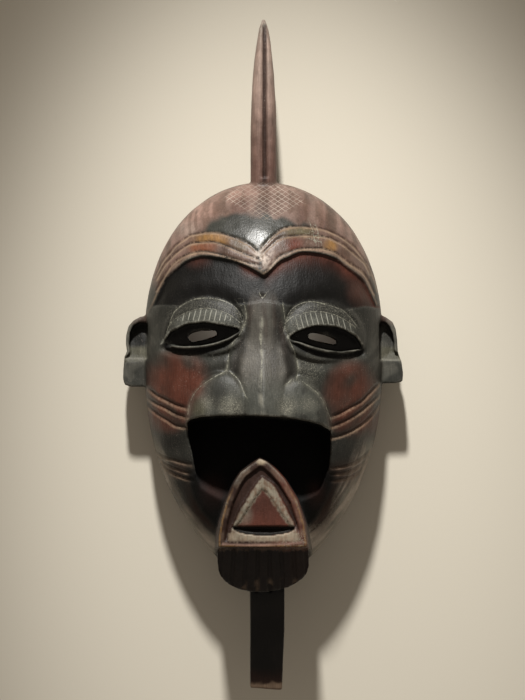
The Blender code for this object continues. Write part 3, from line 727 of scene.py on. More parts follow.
@dataclass
class Eyes:
    """Two bulging lids in sunk sockets, each with a slanting opening."""

    socket_depth: float = 0.005
    lid_bulge: float = 0.009
    floor: float = 0.123
    turn: float = 0.45
    through: float = 0.040
    sockets: tuple[tuple[float, ...], ...] = ((-54, 17.5, 37, 33), (55, 13, 37, 35))
    openings: tuple[Points, ...] = (
        (
            (-92, 6), (-88, 13), (-83.5, 19.5), (-70, 26.5), (-54, 28.5), (-38, 26), (-25, 23.5), (-20, 21.5),
            (-31, 14.5), (-43, 10), (-56, 7.5), (-70, 6.5), (-82, 7.5),
        ),
        (
            (22.5, 14.5), (29, 19.5), (38, 23), (47, 25.5), (65, 24.5), (74, 21), (83, 15.5), (90, 4.5),
            (82, 3.5), (70, 2), (56, 3.5), (43, 7), (33, 10.5), (25, 12.5),
        ),
    )
    slits: tuple[Points, ...] = (
        ((-69, 15), (-65, 18.5), (-56, 21), (-43, 21.2), (-41, 17), (-48, 14), (-56, 12), (-65, 10.5)),
        ((40, 18.5), (44, 19), (53, 17.6), (60, 15), (66, 12), (65.5, 8), (56, 9.5), (47, 11.5), (40, 13.5)),
    )
    lids: tuple[Points, ...] = (
        (
            (-88, 17.5), (-84, 30), (-79.2, 40), (-65.7, 49), (-52.2, 51.3), (-36.9, 49), (-25.2, 42.7),
            (-19.8, 32.8), (-19.8, 22),
        ),
        (
            (18, 22), (21.6, 35.5), (26.1, 41.8), (33.3, 46.3), (42.3, 48.1), (53.1, 46.3), (64.8, 42.7),
            (74, 38), (84, 26),
        ),
    )
    lash_tops: tuple[Points, ...] = (
        ((-86, 24), (-80.7, 30.5), (-72, 36), (-63.2, 39.5), (-52, 41), (-40.7, 39.5), (-30, 35), (-21, 28)),
        ((22, 30), (26.8, 34), (39.3, 37.5), (51.8, 38), (64.3, 35), (74, 30), (82, 24)),
    )
    glints: tuple[Dab, ...] = ((Tone.GREY, 0.5, (45, 29.5, 10, 5), 0.5),)
    lash_pitch: float = 4.7
    lash_lean: float = 0.25
    lower: tuple[Points, ...] = (
        ((-90, 4.5), (-80, 1.8), (-70, 1.2), (-57, 2.0), (-45, 4.5), (-33, 8.5), (-24, 15)),
        ((27, 9.5), (37, 3.5), (51, -0.8), (65, -2.2), (79, -1.5), (89, 0.5)),
    )
    crescents: tuple[Points, ...] = (
        (
            (-91, 9), (-88, 4), (-80, 0.5), (-70, -1), (-57, -0.5), (-45, 2), (-33, 7), (-23, 14), (-19, 22),
            (-31.5, 15), (-43.2, 10.3), (-52.2, 7.6), (-65.7, 6.8), (-79.2, 7.6),
        ),
        (
            (21, 15), (27, 8), (37, 1.5), (51, -2.8), (65, -4.2), (79, -3.5), (89, -0.5), (91, 5),
            (73.8, 0.8), (60.3, 1.6), (49.5, 3.4), (40.5, 6.5), (33.3, 9.7), (25, 14),
        ),
    )
    under_ridge: tuple[Points, ...] = (
        ((-88.2, 10.3), (-79.2, 7.6), (-65.7, 6.8), (-52.2, 7.6), (-43.2, 10.3), (-31.5, 15), (-22, 21)),
        ((23.4, 14), (33.3, 9.5), (40.5, 6.3), (49.5, 3.2), (60.3, 1.4), (73.8, 0.5), (87.3, 4)),
    )

    def relief(self, u: Values, v: Values) -> Values:
        """The sockets and the lids in them."""
        relief = np.zeros_like(u)
        for middle_u, middle_v, reach_u, reach_v in self.sockets:
            du = (u - middle_u * MM) / (reach_u * MM)
            dv = (v - middle_v * MM) / (reach_v * MM)
            reach = np.hypot(du, np.where(dv > 0, dv, dv * 1.7))
            relief -= self.socket_depth * (1.0 - beyond(reach, 0.75, 0.75))
            relief += self.lid_bulge * np.sqrt(np.maximum(1.0 - reach**2, 0.0))
        return relief

    def blocks(self, above: float) -> list[Step]:
        """The cutters of the openings and of the slits that go through."""
        steps = []
        for outline in self.openings:
            steps.append(("DIFFERENCE", prism("eye cut", outline, self.bottom, above)))
        for outline in self.slits:
            steps.append(("DIFFERENCE", prism("slit cut", outline, self.through, above)))
        return steps

    def bottom(self, u: Values, v: Values) -> Values:
        """The floor of an opening, which turns back toward the side."""
        return self.floor - self.turn * np.abs(u)

    def carving(self, u: Values, v: Values) -> Values:
        """How deep the lines round the lids are cut."""
        depth = np.zeros(len(u))
        for points in self.lids:
            depth = np.maximum(depth, v_groove(curve(points), u, v, 0.0018, 0.0011))
        for points in self.lower:
            depth = np.maximum(depth, 0.004 * np.exp(-((offset_from(curve(points), u, v) / 0.0028) ** 2)))
        return depth

    def dress(self, coat: Coat) -> None:
        """Paints the lids, the lash strokes and the openings."""
        u, v, noise = coat.u, coat.v, coat.noise
        up = coat.front
        for number, (middle_u, middle_v, reach_u, reach_v) in enumerate(self.sockets):
            edge, arc = curve(self.lids[number]), curve(self.lash_tops[number])
            hole = inside(self.openings[number], u, v)
            lid = patch(u, v, (middle_u, middle_v + 12, reach_u + 3, reach_v - 6), 0.25)
            lid = lid * beyond(v, 0.018, 0.006)
            coat.lay(Tone.BLACK, 0.45 * lid * up)
            coat.polish(0.42, lid)
            # Painted glints, partly a real dusting, on the lids.
            coat.scatter(0.22 * lid * up)
            coat.draw(edge - (0.0, 0.0010), 0.0006, 0.25 + 0.9 * noise(4.0, 30))
            below = short_of(v, along(arc, u), 0.0015) * (np.abs(u) < 0.084) * (np.abs(u) > 0.021)
            lashes = below * up * (v > 0.016) * (0.45 + 0.8 * noise(6.0, 31)) * lid
            coat.lashes = np.maximum(coat.lashes, lashes)
            coat.lay(Tone.GREY, 0.45 * coat.lashes)
            coat.draw(arc, 0.0006, 0.35 + 0.9 * noise(5.0, 32))
            spread = patch(u, v, (middle_u, middle_v + 14, 31.0, 30.0), 0.35)
            coat.lashes = np.where(below > 0, coat.lashes * (0.15 + 0.85 * spread), coat.lashes)
            lip = smooth(1.0 - np.abs(hole + 0.0014) / 0.0011) * (v > along(arc, u) - 0.016)
            coat.lay(Tone.ASH, 0.8 * up * lip * (0.1 + noise(2.4, 33)))
            coat.lay(Tone.SOOT_AND_SHADE, 0.5 * up * stripe(edge, u, v, 0.0011, 0.0006))
            coat.lay(Tone.SOOT_AND_SHADE, 0.97 * beyond(hole, -0.0006, 0.0015))
            coat.lashes *= 1.0 - beyond(hole, -0.0016, 0.001)
            coat.worn *= 1.0 - beyond(hole, -0.0006, 0.0015)
            under = beyond(inside(self.crescents[number], u, v), -0.0008, 0.0015) * up
            coat.lay(Tone.SOOT_AND_SHADE, 0.95 * under)
            coat.worn *= 1.0 - under
            coat.polish(0.8, under)
            coat.lay(Tone.GREY, 0.45 * up * stripe(curve(self.under_ridge[number]), u, v, 0.0009))
        coat.dab(up, self.glints)


@dataclass
class Nose:
    """The straight ridge of the nose and its flaring wings."""

    tip: float = 0.149
    root: float = 0.113
    roof: float = 0.20
    wing_step: float = 0.003
    wing_rise: float = 0.016
    sides: Points = (
        (52, 13), (40, 17), (19, 20), (4, 27), (-8, 30), (-18, 30.5), (-32, 27), (-46, 24), (-66, 25),
    )
    fronts: Points = ((52, 7), (20, 12), (2, 16.5), (-15, 20), (-34, 16), (-66, 14))
    wings: tuple[tuple[float, ...], ...] = ((-38, -62, 32, 46, -66.5), (32, -68, 28.5, 47, -74))
    dark_side: tuple[Dab, ...] = ((Tone.BLACK, 0.45, (10, 2, 6, 40), 0.9),)
    olive_wing: tuple[Dab, ...] = ((Tone.OLIVE, 0.45, (-58, -50, 10, 14), 0.8),)
    ridge_line: Points = ((-1.6, 32), (-2.6, 10), (-1.4, -12), (-2.6, -34), (-1.8, -55))
    # Where the painted highlight down the ridge is brightest.
    ridge_highlight: Oval = (-2, 4, 20, 42)
    # Painted highlights on the wings, each its share and place.
    painted_highlights: tuple[tuple[float, Oval], ...] = (
        (0.60, (-30, -48, 17, 15)), (0.55, (21, -48, 13, 14)),
        (0.30, (40, -45, 13, 10)), (0.35, (-51, -45, 12, 12)),
    )
    creases: tuple[Points, ...] = (
        ((-17, 44), (-15.5, 34), (-18, 24), (-22.5, 16), (-29, 8), (-31.5, -2), (-33, -14)),
        (
            (-33.3, -14.9), (-41.4, -19.4), (-49.5, -23.9), (-56.7, -29.3), (-63, -36.5), (-66.6, -45.5),
            (-68.4, -54.5),
        ),
        ((-29.7, -16.7), (-24.3, -21.2), (-20.7, -26.6), (-18, -33.8), (-16.2, -38.3)),
        ((17.5, 44), (19, 33), (20, 22), (24, 10), (28.5, 0), (31, -12), (29.7, -23)),
        ((36, -25.7), (42.3, -30.2), (49.5, -36.5), (55.8, -47.3), (60.3, -59)),
        ((24.3, -24), (19.8, -27.5)),
    )

    def ridge(self, u: Values, v: Values, head: Head, brow: Brow, foot_level: float) -> Values:
        """The height of the ridge, standing on its sides' outline."""
        half = along(np.array(self.sides) * MM, v)
        rise = short_of(v, 0.055, 0.115)
        ridge = self.root + (self.tip - self.root) * rise
        front = np.minimum(along(np.array(self.fronts) * MM, v), 0.8 * half)
        foot = head.dome(u, v) - brow.ledge_step * beyond(v, 0.02, 0.03) - 0.012
        side = np.clip((np.abs(u) - front) / (half - front), 0.0, 1.0)
        shape = 1.0 - self.roof * np.minimum(np.abs(u) / front, 1.0) - (1.0 - self.roof) * side**1.5
        here = (np.abs(u) < half) & (v < 0.056) & (v > foot_level)
        return np.where(here, foot + (ridge - foot) * shape, 0.0)

    def carving(self, u: Values, v: Values) -> Values:
        """How deep its creases are cut."""
        depth = np.zeros(len(u))
        for points in self.creases:
            depth = np.maximum(depth, v_groove(curve(points), u, v, 0.0020, 0.0013))
        return depth

    def dress(self, coat: Coat) -> None:
        """Paints the nose and chalks its creases, with painted shade on its sides and painted highlights on
        its ridge and wings.
        """
        u, v, noise = coat.u, coat.v, coat.noise
        up = coat.front
        half = along(np.array(self.sides) * MM, v)
        here = short_of(v, 0.060, 0.02) * beyond(v, -0.066, 0.003)
        here = here * short_of(np.abs(u), half, 0.003) * up
        coat.lay(Tone.GREY, 0.55 * here)
        # Painted shade: the side planes, which turn away from the light, are painted darker than the front.
        side = np.abs(u + 0.001) - along(np.array(self.fronts) * MM, v) + 0.004 * (noise(8.0, 44) - 0.5)
        coat.lay(Tone.MAUVE, 0.14 * here * beyond(v, -0.04, 0.03))
        coat.lay(Tone.BLACK, 0.76 * here * beyond(side, -0.003, 0.007) * beyond(v, -0.035, 0.02))
        streaks = beyond(mottle(u, 0.2 * v, 4.0, 43), 0.5, 0.2)
        coat.lay(Tone.UMBER, 0.30 * here * streaks * beyond(v, -0.01, 0.03))
        coat.dab(here, self.dark_side)
        coat.polish(0.45, here)
        # Down the ridge: rubbed paint, and a painted highlight, brightest about its middle.
        ridge = curve(self.ridge_line)
        coat.lay(Tone.RUBBED, 0.70 * here * stripe(ridge, u, v, 0.0030) * coat.speckled(5.0, 42, 0.3, 0.4))
        coat.draw(ridge, 0.0010, 0.15 + 1.7 * noise(5.0, 45) * patch(u, v, self.ridge_highlight, 0.7))
        for wing in self.wings:
            cap = patch(u, v, wing, 0.3) * smooth((v - (wing[4] + 0.5) * MM) / 0.002) * up
            coat.lay(Tone.GREY, 0.50 * cap * (1.0 - here))
            coat.lay(Tone.BLACK, 0.5 * cap * coat.speckled(7.0, 47, 0.5, 0.3))
            coat.polish(0.42, cap)
        coat.dab(up, self.olive_wing)
        # Painted highlights on the wings: pale patches and glinting speckles, where the finish is also
        # glossier.
        for share, oval in self.painted_highlights:
            near = up * patch(u, v, oval, 0.9)
            coat.lay(Tone.RUBBED, 0.75 * share * near * (0.5 + 0.7 * noise(5.0, 40)))
            coat.scatter(1.5 * share * near)
            coat.polish(0.1, near)
        for points in self.creases:
            coat.lay(Tone.DUST, 0.25 * up * noise(5.0, 46) * stripe(curve(points), u, v, 0.0026))
            coat.draw(curve(points), 0.0007, 0.15 + 1.1 * noise(3.5, 41))


@dataclass
class Cheeks:
    """The reddened cheeks, with two sets of three grooves at each side."""

    half: float = 0.0025
    depth: float = 0.0019
    reds: tuple[Dab, ...] = (
        (Tone.RED, 0.95, (-78, -27, 36, 36), 0.6), (Tone.RED, 0.95, (79, -35, 30, 34), 0.6),
        (Tone.RED, 0.8, (-86, -57, 26, 18), 0.6), (Tone.RED, 0.85, (84, -60, 30, 20), 0.6),
    )
    darks: tuple[Dab, ...] = (
        (Tone.SLATE, 0.8, (45, -18, 15, 14), 0.7), (Tone.DULL_RED, 0.5, (-80, -104, 18, 12), 0.8),
        (Tone.DULL_RED, 0.6, (74, -108, 22, 16), 0.8),
    )
    # Where painted glints, partly a real dusting, are scattered on the right cheekbone.
    dust: Oval = (42, -16, 18, 20)
    grooves: tuple[Points, ...] = (
        ((-104.4, -31), (-95.4, -37.8), (-87.3, -41.9), (-79.2, -45.9), (-69.3, -49)),
        ((-105.3, -39), (-97.2, -44.6), (-88.2, -49), (-79.2, -54), (-69.3, -57.2)),
        ((-105.3, -46.4), (-94.5, -55), (-86.4, -60), (-79.2, -64.5), (-68.4, -66.2)),
        ((-97.2, -88.2), (-90.9, -92.3), (-81.9, -95), (-72.9, -97.7), (-65.7, -99.5)),
        ((-95.4, -94), (-88.2, -99.5), (-81, -102.6), (-73.8, -105.3), (-65.7, -107.6)),
        ((-93.6, -98.6), (-86.4, -104.4), (-79.2, -108.5), (-71, -111.6), (-63.9, -113.9)),
        ((61.5, -56.5), (69, -53.5), (78, -48.5), (88, -43), (94.5, -36.5), (102.5, -28)),
        ((61.5, -65.5), (69, -62.5), (78, -58), (88, -51.5), (96, -44.5), (103, -38)),
        ((61, -75.5), (69, -73.5), (78, -70), (88, -64), (96, -56.5), (102.5, -48)),
        ((61, -102.5), (72, -101), (82, -97.5), (90, -92.5), (95, -87.5)),
        ((61, -108), (72, -107), (82, -103.5), (90, -98), (94.5, -93)),
        ((60.5, -114), (71, -112.5), (80, -110), (87, -105), (93, -98)),
    )

    def carving(self, u: Values, v: Values) -> Values:
        """How deep the grooves are cut."""
        depth = np.zeros(len(u))
        for points in self.grooves:
            depth = np.maximum(depth, v_groove(curve(points), u, v, self.half, self.depth))
        return depth

    def dress(self, coat: Coat) -> None:
        """Paints the cheeks and the bands between the grooves."""
        patchy = smooth(0.25 + 1.1 * coat.noise(13.0, 50))
        for tone, share, oval, soft in self.reds:
            coat.dab(coat.front * patchy, ((tone, share, oval, soft),))
            coat.dab(coat.front, ((Tone.BROWN, 0.16, oval, soft),))
        coat.dab(coat.front, self.darks)
        # Painted glints, partly a real dusting, on the right cheekbone.
        coat.scatter(0.4 * coat.front * patch(coat.u, coat.v, self.dust, 0.8))
        for number, points in enumerate(self.grooves):
            coat.grooved(curve(points), self.half, Tone.WORN, 0.55 if number % 6 < 3 else 0.42)


@dataclass
class Niche:
    """The deep hollow under the nose, open at the front."""

    back: float = 0.056
    slope: float = 0.56
    top: float = -0.059
    undercut: float = 0.006
    lips: tuple[Oval, ...] = ((-46, -128, 30, 42), (46, -128, 26, 42))
    reds: tuple[Dab, ...] = (
        (Tone.RED, 0.14, (-46, -124, 18, 24), 0.9), (Tone.RED, 0.14, (48, -126, 14, 20), 0.9),
    )
    outline: Points = (
        (-68.5, -66), (-65.5, -63), (-56, -60.5), (-34, -58.7), (-7, -58.7), (15, -60.2), (29, -62),
        (42, -64.7), (52, -68), (60, -73.5), (60, -95), (58.5, -108), (53, -122), (49.5, -131),
        (42, -144.5), (34, -152), (12, -160), (-14, -160), (-38, -152), (-50.4, -138), (-57, -126),
        (-61, -113), (-64, -95), (-68, -78),
    )

    def floor(self, v: Values) -> Values:
        """The back of the niche, which slopes out toward the chin."""
        return self.back + self.slope * np.maximum(self.top - v, 0.0)

    def block(self, above: float) -> Step:
        """Its cutter."""
        cutter = prism("niche cut", self.outline, lambda u, v: self.floor(v), above, 0.0, self.undercut)
        return ("DIFFERENCE", cutter)

    def dress(self, coat: Coat, head: Head) -> None:
        """Blackens the niche, redder toward the chin: black paint, and the nose's painted shade."""
        edge = inside(self.outline, coat.u, coat.v)
        deep = smooth((head.dome(coat.u, coat.v) - 0.002 - coat.z) / 0.004) * (coat.z > FACE_FOOT)
        # Black paint and the nose's painted shade, across the niche and down over its lit lower floor and the
        # surfaces just below it.
        niche = beyond(edge, -0.0035, 0.003) * deep
        low = beyond(edge, -0.009, 0.005) * short_of(coat.v, -0.10, 0.01) * (coat.z > FACE_FOOT)
        coat.lay(Tone.SOOT_AND_SHADE, 0.96 * niche)
        niche = np.maximum(niche, low)
        for oval in self.lips:
            rest = patch(coat.u, coat.v, oval, 0.5) * (coat.z > FACE_FOOT)
            coat.lay(Tone.UMBER, 0.95 * rest * (1.0 - niche))
            niche = np.maximum(niche, 0.9 * rest)
        coat.lay(Tone.SOOT_AND_SHADE, 0.97 * low)
        coat.dab(niche, self.reds)
        coat.worn *= 1.0 - niche
        coat.polish(1.0, niche)


@dataclass
class Mouth:
    """The three-cornered block of the mouth, with a sunk groove, a band and a slit."""

    front: float = 0.140
    lean: float = 0.07
    root: float = 0.058
    rim: float = 0.0055
    cut: float = 0.003
    sunk: float = 0.0016
    ring: Points = (
        (-1.5, -110), (-5.5, -115), (-10.4, -121.5), (-21.7, -140.3), (-29, -157), (-33, -168.5),
        (34.5, -168.5), (29.7, -157), (20.1, -137), (8.9, -117),
    )
    heart: Points = (
        (-1.6, -121), (-7, -128), (-13.6, -138), (-22, -151), (-27.5, -157), (26.5, -157), (20, -148.4),
        (12, -137), (3.5, -124),
    )
    sill: Points = ((-37, -171), (-10, -172.2), (20, -171), (36, -169))
    # The pale tip of the rim: chipped wood, and a painted highlight.
    pale_tip: tuple[Dab, ...] = ((Tone.CREAM, 0.5, (-2, -97, 6, 4), 0.8),)
    dusty_middle: tuple[Dab, ...] = ((Tone.DUST, 0.45, (-17, -146, 10, 13), 0.8),)
    slit: Oval = (0.4, -156.2, 28.5, 7.2)
    slit_top: float = -0.1545
    outline: Points = (
        (-3.6, -94), (3, -97), (11, -104), (19, -113), (30, -131), (37, -153), (39.5, -174),
        (-41, -174), (-40.5, -162), (-38.5, -150), (-33.3, -131), (-26, -115), (-20.5, -106.5), (-12, -100),
    )

    def block(self) -> Step:
        """The plain block."""
        top = lambda u, v: self.front - self.lean * (v + 0.094)
        return ("UNION", prism("mouth block", self.outline, self.root, top, 0.10))

    def parts(self, u: Values, v: Values) -> tuple[Values, ...]:
        """The distance in from its edge, and the shares of its groove, middle and slit."""
        edge = inside(self.outline, u, v)
        ring = beyond(inside(self.ring, u, v), -0.0006, 0.0012)
        groove = beyond(edge, self.rim, 0.0014) * (1.0 - ring)
        middle = beyond(inside(self.heart, u, v), -0.0006, 0.0012)
        return edge, groove, middle, mound(u, v, self.slit) * short_of(v, self.slit_top, 0.0012)

    def carving(self, u: Values, v: Values, z: Values) -> Values:
        """How deep its front is cut."""
        _, groove, middle, slit = self.parts(u, v)
        depth = self.cut * groove + self.sunk * middle
        return np.where(z > self.front - 0.008, depth + 0.007 * slit, 0.0)

    def dress(self, coat: Coat, head: Head) -> None:
        """Paints the rim, groove, chalked band and middle; the band and the rim's tip also carry painted
        light.
        """
        u, v, noise = coat.u, coat.v, coat.noise
        edge, groove, middle, slit = self.parts(u, v)
        standing = smooth((coat.z - head.dome(u, v) - 0.0015) / 0.002) * (coat.z > 0.06)
        here = beyond(edge, -0.010, 0.002) * standing * (v > -0.1765)
        top = here * beyond(coat.facing, 0.3, 0.2) * (coat.z > self.front - 0.008)
        coat.lay(Tone.UMBER, 0.95 * here)
        coat.lay(Tone.RED, 0.75 * here * beyond(u, 0.004, 0.01) * beyond(coat.z, 0.112, 0.012))
        coat.lay(Tone.DULL_RED, 0.5 * top * (0.25 + 0.75 * beyond(u, -0.01, 0.02)) - 0.12 * top)
        # The pale tip: chipped wood, and a painted highlight.
        coat.dab(top, self.pale_tip)
        coat.lay(Tone.WORN, 0.2 * top * coat.speckled(5.0, 60, 0.3, 0.4) * short_of(edge, self.rim, 0.001))
        bright = smooth(1.0 - np.abs(edge - 0.0012) / 0.0013)
        coat.lay(Tone.OCHRE, 0.6 * top * bright * short_of(v, -0.112, 0.03))
        coat.lay(Tone.UMBER, 0.95 * groove * top)
        ragged = 0.0014 * (noise(1.9, 61) - 0.5)
        middle = smooth((inside(self.heart, u, v) - 0.0008 + ragged) / 0.0022) * top
        # The pale band: chalky paint, and painted light where its flanks face the light.
        chalk = smooth((inside(self.ring, u, v) - 0.0002 + ragged) / 0.0018) * (top - middle)
        coat.lay(Tone.WORN, 0.55 * chalk)
        coat.lay(Tone.DUST, 0.55 * chalk * smooth(1.7 * noise(1.7, 63) - 0.2))
        coat.lay(Tone.RED, 0.9 * middle)
        coat.lay(Tone.UMBER, 0.60 * middle)
        coat.dab(middle, self.dusty_middle)
        coat.lay(Tone.RED, 0.5 * middle * short_of(v, -0.135, 0.02))
        lip = short_of(v, -0.1605, 0.001) * beyond(v, -0.1690, 0.001)
        lip = lip * short_of(np.abs(u), 0.033, 0.002) * top
        coat.lay(Tone.WORN, 0.50 * lip)
        coat.lay(Tone.DUST, 0.4 * lip * noise(2.4, 62))
        coat.lay(Tone.PINK, 0.7 * top * stripe(curve(self.sill), u, v, 0.0014))
        coat.lay(Tone.SOOT_AND_SHADE, 0.97 * smooth(slit / 0.3) * here)
        coat.polish(0.5, here)


@dataclass
class Beard:
    """The beard under the mouth, cut with upright flutes."""

    front: float = 0.138
    slope: float = 0.55
    root: float = 0.045
    spread: float = -0.25
    lift: float = 0.008
    flute_sizes: dict[str, float] = field(default_factory=lambda: {
        "Pitch": 0.0098, "Length": 0.034, "Lean": 0.0, "Half Width": 0.0036, "Depth": 0.0022,
    })
    outline: Points = (
        (-41, -170), (39.5, -170), (40.9, -182), (40.6, -192), (38.5, -198), (35, -202.2), (29, -206.6),
        (22, -210), (12, -213), (0, -214.5), (-12, -214), (-21, -212.2), (-29, -208.8), (-34.5, -205),
        (-39, -200), (-41, -194.5), (-42, -184),
    )
    flutes: Points = ((-39, -193), (0, -195), (39, -193))

    def block(self) -> Step:
        """The plain block, its front sloping back and down."""
        top = lambda u, v: self.front + self.slope * (v + 0.170)
        return ("UNION", prism("beard block", self.outline, self.root, top, self.spread, self.lift))

    def dress(self, coat: Coat) -> None:
        """Blackens it."""
        here = beyond(inside(self.outline, coat.u, coat.v), -0.004, 0.003)
        here = here * short_of(coat.v, -0.1755, 0.001) * (coat.z > FACE_FOOT)
        coat.lay(Tone.SOOT_AND_SHADE, 0.985 * here)
        coat.lay(Tone.UMBER, 0.25 * here)
        coat.lay(Tone.UMBER, 0.35 * here * beyond(coat.u, 0.016, 0.01))
        foot = coat.stroke * short_of(coat.v, -0.2, 0.006)
        coat.lay(Tone.WORN, 0.5 * here * foot * coat.speckled(5.0, 65, 0.45, 0.2))
        coat.worn *= 1.0 - here
        coat.polish(0.25, here)


@dataclass
class Stalk:
    """The straight grip below the beard."""

    start: float = -0.172
    end: float = -0.3024
    front: float = 0.070
    back: float = 0.046
    sides: tuple[tuple[float, float], ...] = ((-12, 0), (19, 0), (18.5, 0.6), (16.5, 1.0), (-12, 0.985))

    def block(self) -> Step:
        """The plain bar."""
        length = self.start - self.end
        outline = tuple((u, (self.start - share * length) / MM) for u, share in self.sides)
        return ("UNION", prism("stalk block", outline, self.back, self.front))

    def dress(self, coat: Coat) -> None:
        """Blackens it, browner at its worn end."""
        v, low = coat.v, coat.z < self.front + 0.012
        here = short_of(v, -0.205, 0.004) * (np.abs(coat.u) < 0.03) * low * (v < -0.2)
        coat.lay(Tone.SOOT_AND_SHADE, 0.98 * here)
        coat.lay(Tone.UMBER, 0.8 * smooth((-0.284 - v + 0.006 * coat.noise(8.0, 70)) / 0.012))
        coat.worn *= 1.0 - here
        coat.lay(Tone.WORN, 0.7 * here * smooth((-0.2965 - v + 0.004 * coat.noise(4.0, 71)) / 0.003))
        coat.polish(0.25, here)


@dataclass
class Crest:
    """The upright crest, a slim post that tapers to its tip, grooved down its front."""

    tip: float = 0.301
    width: float = 0.0235
    depth: float = 0.030
    middle: float = 0.046
    groove: float = 0.003
    sides: int = 32
    shape: Points = (
        (-8, 1.0), (40, 0.99), (72, 0.93), (97, 0.80), (112, 0.68), (126, 0.54), (139, 0.33),
        (147.5, 0.10),
    )

    def block(self, base: float) -> Step:
        """The plain post, standing on the crown's outline at the level base."""
        angle = np.linspace(0.0, 2.0 * np.pi, self.sides, endpoint=False)
        stretch = (self.tip - base) / (self.shape[-1][0] * MM)
        across = np.sign(np.cos(angle)) * np.abs(np.cos(angle)) ** 0.7
        deep = np.sign(np.sin(angle)) * np.abs(np.sin(angle)) ** 0.7
        rings = []
        for rise, share in self.shape:
            width = self.width * share / 2
            depth = self.depth * (0.25 + 0.75 * share) / 2 * min(1.0, share / 0.3)
            level = np.full(self.sides, base + rise * MM * stretch)
            rings.append(np.column_stack([across * width, level, self.middle + deep * depth]))
        return ("UNION", rings_object("crest block", rings))

    def carving(self, u: Values, v: Values, base: float) -> Values:
        """How deep its groove is cut."""
        here = (np.abs(u) < 0.02) & (v > base + 0.004)
        return here * self.groove * np.exp(-(((u - 0.0009) / 0.0026) ** 2))

    def dress(self, coat: Coat, base: float) -> None:
        """Paints it brown-pink, darker toward the crown, with a dark groove."""
        u, v = coat.u, coat.v
        here = smooth((v - base + 0.001) / 0.003) * (np.abs(u) < 0.03)
        coat.lay(Tone.DULL_RED, 0.9 * here)
        rise = smooth((v - base - 0.015) / 0.10)
        coat.lay(Tone.PINK, here * (0.3 + 0.6 * rise) * (0.5 + 0.7 * coat.noise(9.0, 80)))
        coat.lay(Tone.CHALK, 0.35 * here * rise)
        line = curve(((0.9, 151), (0.9, 220), (0.9, 295)))
        coat.lay(Tone.UMBER, 0.95 * here * stripe(line, u, v, 0.0030))
        coat.polish(0.55, here)


@dataclass
class Ears:
    """Two block ears, hollowed at the top."""

    front: float = 0.047
    back: float = 0.023
    hollow: float = 0.010
    outlines: tuple[Points, ...] = (
        (
            (-96, 34), (-105, 34), (-111, 33), (-117, 30), (-121.5, 25), (-123.5, 17), (-123.8, 8.5),
            (-122.5, 2), (-125, -3), (-126.2, -14), (-126.5, -23), (-125, -28), (-119, -29.5),
            (-96, -29.5),
        ),
        (
            (96, -27), (119, -26.5), (125, -25), (125.6, -18), (124, -7), (122.4, -3), (120.8, 2),
            (120.2, 13), (118.8, 22), (116, 28.5), (110, 33), (104, 35.5), (96, 36),
        ),
    )
    hollows: tuple[Points, ...] = (
        (
            (-104, 28), (-112, 28.3), (-117.3, 25.3), (-120.4, 18.6), (-120.9, 9), (-120.2, 1),
            (-132, -9.5), (-104, -5.5),
        ),
        (
            (104, -6), (130, -7), (117.6, 3), (117.5, 10), (116.2, 18.5), (113.2, 24.8), (109.2, 28.5),
            (104, 28.5),
        ),
    )
    bevel: Points = ((-130, -5.5), (-104, -4.5), (104, -5.5), (130, -5.0))
    ramp_foot: float = -0.0065
    ramp_rise: float = 0.014

    def blocks(self, above: float) -> list[Step]:
        """The two blocks and the cutters of their hollows."""
        steps = []
        for outline in self.outlines:
            steps.append(("UNION", prism("ear block", outline, self.back, self.front, -0.02)))
        for outline in self.hollows:
            steps.append(("DIFFERENCE", prism("ear cut", outline, self.floor, above)))
        return steps

    def floor(self, u: Values, v: Values) -> Values:
        """The floor of the hollows, which ramps out to the front of the lower block."""
        return self.front - self.hollow * np.clip((v - self.ramp_foot) / self.ramp_rise, 0.0, 1.0)

    def dress(self, coat: Coat) -> None:
        """Paints them grey, with painted shade in the hollows and a worn bevel below."""
        u, v = coat.u, coat.v
        for outline, hollow in zip(self.outlines, self.hollows):
            here = beyond(inside(outline, u, v), -0.004, 0.002) * (coat.z < self.front + 0.004)
            here = here * beyond(np.abs(u), 0.104, 0.002)
            coat.lay(Tone.SLATE, 0.9 * here)
            coat.lay(Tone.RUBBED, 0.25 * here * coat.speckled(7.0, 85, 0.3, 0.5))
            coat.lay(Tone.DULL_RED, 0.5 * here * beyond(v, 0.024, 0.004))
            pit = beyond(inside(hollow, u, v), -0.001, 0.002) * here
            # Painted shade in the hollows under the top rims, deeper in the left ear than in the right.
            coat.lay(Tone.SOOT_AND_SHADE, (0.8 - 0.48 * (u > 0)) * pit * beyond(v, 0.003, 0.006))
            coat.lay(Tone.OLIVE, 0.35 * pit * short_of(v, 0.008, 0.004))
            coat.lay(Tone.RUBBED, 0.5 * here * stripe(curve(self.bevel), u, v, 0.0011))
            coat.polish(0.5, here)


def wire(tree: bpy.types.NodeTree, rows: Sequence[Row]) -> dict[str, Sequence[bpy.types.NodeSocket]]:
    """Adds a tree's nodes, row by row.

    Args:
        tree: The tree they go into.
        rows: Each node's name here, its kind with its operation behind it where it has one, its
            inputs in order or by socket, and its own properties. Text with @ before it leads from
            an earlier row's output.

    Returns:
        The nodes' outputs by name.
    """
    outputs = {}
    for name, kind, inputs, *choices in rows:
        kind, _, operation = kind.partition(" ")
        own = {**(choices[0] if choices else {}), **({"operation": operation} if operation else {})}
        settings = dict(inputs if isinstance(inputs, dict) else enumerate(inputs))
        linked = [socket for socket, value in settings.items() if isinstance(value, str) and value[0] == "@"]
        links = {}
        for socket in linked:
            source, _, output = settings.pop(socket)[1:].partition(".")
            links[socket] = outputs[source][output or 0]
        outputs[name] = add(tree, kind, settings, links, **own).outputs
    return outputs


